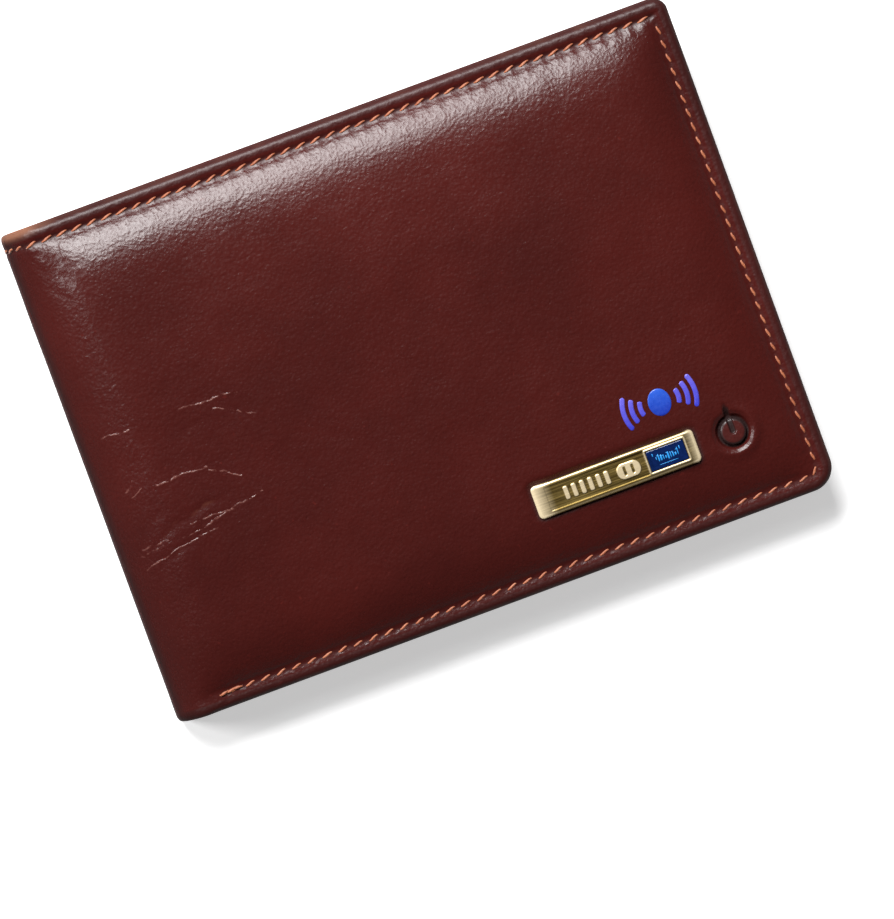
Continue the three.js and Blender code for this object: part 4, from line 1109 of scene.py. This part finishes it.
def make_foam():
    """The padding under the front's leather, hollow over the module and open under the badge."""
    foam = moulded_material("closed_cell_foam", (0.11, 0.11, 0.12), 0.85, 2200, 0.00012, 0.35)
    xs = framed(FOAM_LEFT, LINING_RIGHT, PANEL_INSETS, spaced(FOAM_LEFT + 0.6, -9.6, 1.2),
                spaced(-9.6, -6.6, 0.5), spaced(-6.0, 9.0, 1.5), spaced(9.0, 48.6, 1.2),
                spaced(48.6, LINING_RIGHT - 0.6, 0.9))
    ys = framed(-LINING_HALF_H, LINING_HALF_H, PANEL_INSETS, spaced(-37.6, -32.8, 0.8),
                spaced(-32.8, -25.4, 0.8), spaced(-25.4, -6.2, 1.2), spaced(-6.2, 37.6, 1.4))
    x, y = np.meshgrid(xs, ys, indexing="ij")
    inset = np.minimum(np.minimum(x - FOAM_LEFT, LINING_RIGHT - x), LINING_HALF_H - np.abs(y))
    top = front_base(x) + swell(x, y) - LEATHER - 0.06 - 0.02 * (1 + noise(x, y, 1.6, 95))
    low = np.where(inside(x, y, MODULE_BAY), np.minimum(MODULE_TOP, top - 0.25), FOAM_Z)
    outer, inner = finish_edges(grid_points(x, y, top), grid_points(x, y, low), inset)
    hole = inside(cell_middles(x), cell_middles(y), BADGE_OPENING)
    pad = grid_solid("foam_padding", outer, inner, foam, ALL_SHARED, hole)
    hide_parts("front_foam_pad")
    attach(pad, "front_half")


BACK_LEVELS = [  # pocket mouth, left end and level of each layer, from the uppermost down
    (4.5, -48, 5.8), (15.5, -48, 4.95), (26.5, -48, 4.1), (37.5, -49.5, 3.25), (99, -99, 2.3)]
FRONT_LEVELS = [(19.5, -48, 6.4), (28.5, -48, 7.55), (37.5, -49.5, 8.4), (99, -99, 9.35)]

front_skin, back_skin = make_front_skin(), make_back_skin()
front_stitches, back_stitches = make_front_stitches(), make_back_stitches()
for piece in (front_skin, front_stitches):
    fold_front(piece)
for piece in (back_skin, back_stitches):
    fold_back(piece)
make_badge()
make_window()
make_window_marks()
make_button()
make_mark()
make_foam()
make_linings()
make_dividers()
for index in (1, 2, 3):
    make_panel(f"card_pocket_{index}_leather", f"card_pocket_back_{index}", "back_half", True)
make_panel("front_card_pocket_leather", "card_pocket_front", "front_half", False)
make_inner_stitches("back_bobbin_stitches", "back_bobbin_thread", "back_half", BACK_LEVELS, 1)
make_inner_stitches("front_bobbin_stitches", "front_bobbin_thread", "front_half", FRONT_LEVELS, -1)


# ---- finishes of the CAD nodes that stay ----------------------------------------------------
def circuit_board_material():
    """Green solder mask over copper tracks."""
    s = Shader("solder_mask", Coat_Weight=0.4, Coat_Roughness=0.2)
    tracks = s.math("MAXIMUM", s.wave(260, "X", 2.0), s.wave(190, "Y", 3.0))
    pads = s.span(s.cells(420), 0.12, 0.2, 1, 0)
    colour = s.mix(s.span(tracks, 0.8, 0.9), (0.012, 0.10, 0.05), (0.03, 0.19, 0.08))
    colour = s.mix(pads, colour, (0.62, 0.50, 0.24))
    return s.finish(colour, s.span(pads, 0, 1, 0.42, 0.28), s.bump(tracks, 0.00004, 0.6))


def film_material():
    """Clear soft film with faint waves and scuffs."""
    s = Shader("clear_window_film", Alpha=0.28, Specular_IOR_Level=0.6)
    scuffs = s.noise(1.0, 3, 0.5, s.stretched((160, 60, 100), 0.3))
    tone = s.ramp(scuffs, (0.3, (0.78, 0.80, 0.82)), (0.7, (0.86, 0.88, 0.90)))
    return s.finish(tone, s.span(scuffs, 0.3, 0.7, 0.10, 0.16), s.bump(s.noise(45, 2), 0.0006, 0.4))


moulded, metal = moulded_material, metal_material
SLOT_FINISH = {
    "inner_leather": INNER, "lining_fabric": LINING, "clear_film": film_material(), "badge_brass": BRASS,
    "board": circuit_board_material(),
    "clear_acrylic": moulded("clear_acrylic_guide", (0.82, 0.9, 0.94), 0.12, 900, 0.00001, 0.05, clear=0.8),
    "led_package": moulded("led_resin", (0.30, 0.66, 0.86), 0.2, 3000, 0.00001, 0.15),
    "black_plastic": moulded("black_abs", (0.018, 0.018, 0.02), 0.5, 2600, 0.00004, 0.3),
    "white_plastic": moulded("white_nylon", (0.72, 0.71, 0.66), 0.5, 2600, 0.00003, 0.06),
    "chip": moulded("chip_epoxy", (0.014, 0.014, 0.015), 0.55, 4200, 0.00003, 0.4),
    "ceramic": moulded("fired_ceramic", (0.70, 0.67, 0.60), 0.35, 3000, 0.00002, 0.08),
    "steel": metal("plated_steel", (0.40, 0.41, 0.43), (0.70, 0.71, 0.73), (1500, 200, 900)),
    "sounder_brass": metal("sheet_brass", (0.45, 0.31, 0.11), (0.78, 0.60, 0.28), (600, 600, 900)),
    "pouch": metal("foil_pouch", (0.42, 0.43, 0.45), (0.66, 0.67, 0.69), (380, 420, 500), (0.3, 0.5),
                   0.00006),
    "wire_red": moulded("red_insulation", (0.48, 0.02, 0.018), 0.4, 2600, 0.00002, 0.15),
    "wire_black": moulded("black_insulation", (0.016, 0.016, 0.017), 0.4, 2600, 0.00002, 0.3),
    "tape": moulded("polyimide_tape", (0.52, 0.27, 0.05), 0.25, 1500, 0.00003, 0.2),
}
for node_name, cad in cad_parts.items():
    if cad.hide_render:
        continue
    for holder in cad.material_slots:
        key = holder.material.name.split(".")[0] if holder.material else ""
        holder.material = SLOT_FINISH.get(key, SLOT_FINISH["black_plastic"])
        if key not in SLOT_FINISH:
            print("no finish for", node_name, key)


# ---- camera, light and floor ----------------------------------------------------------------
def make_camera():
    data = bpy.data.cameras.new("camera")
    data.lens, data.sensor_width, data.sensor_fit = 300.0, 36.0, "AUTO"
    data.clip_start, data.clip_end = 0.05, 20
    made = bpy.data.objects.new("camera", data)
    made.location = (-45.9 * MM, 78.3 * MM, 1289.4 * MM)
    made.rotation_euler = Euler([math.radians(a) for a in (-3.32, -3.33, -20.09)], "XYZ")
    bpy.context.scene.collection.objects.link(made)
    bpy.context.scene.camera = made


def area_light(name, place, size, watts):
    """A rectangular softbox that faces the part."""
    data = bpy.data.lights.new(name, "AREA")
    data.shape, data.size, data.size_y, data.energy = "RECTANGLE", size[0], size[1], watts
    made = bpy.data.objects.new(name, data)
    made.location = place
    made.rotation_euler = (-Vector(place)).to_track_quat("-Z", "Y").to_euler()
    bpy.context.scene.collection.objects.link(made)


def make_world():
    """A pale room that is darker overhead, and darker on the spine's side."""
    world = bpy.data.worlds.new("studio")
    bpy.context.scene.world = world
    world.use_nodes = True
    room = Graph(world.node_tree, "Generated")
    fade = room.span(room.axis("Z"), 0.28, 0.62, 0.34, 0.02)
    side = room.span(room.axis("X"), -0.9, 0.1, 0.12, 1.0)
    background = world.node_tree.nodes["Background"]
    background.inputs["Color"].default_value = (1, 1, 1, 1)
    room.link(room.math("MULTIPLY", fade, side), background.inputs["Strength"])


def make_floor():
    s = Shader("pale_floor", Roughness=0.9, Emission_Color=(1, 1, 1, 1), Emission_Strength=0.50)
    tone = s.ramp(s.noise(40, 3), (0.3, (0.86, 0.86, 0.86)), (0.7, (0.90, 0.90, 0.90)))
    mesh = bpy.data.meshes.new("floor")
    size = 6.0
    corners = [(-size, -size, 0), (size, -size, 0), (size, size, 0), (-size, size, 0)]
    mesh.from_pydata(corners, [], [[0, 1, 2, 3]])
    mesh.materials.append(s.finish(tone))
    made = bpy.data.objects.new("floor", mesh)
    bpy.context.scene.collection.objects.link(made)
    made.visible_glossy = False      # the leather's gloss shows the room, and not the lit floor


make_camera()
make_world()
make_floor()
area_light("back_softbox", (-0.12, 0.85, 0.94), (0.55, 0.62), 29)
area_light("left_softbox", (-0.80, 0.45, 0.72), (0.30, 0.50), 7.0)
bpy.context.scene.view_settings.view_transform = "Standard"
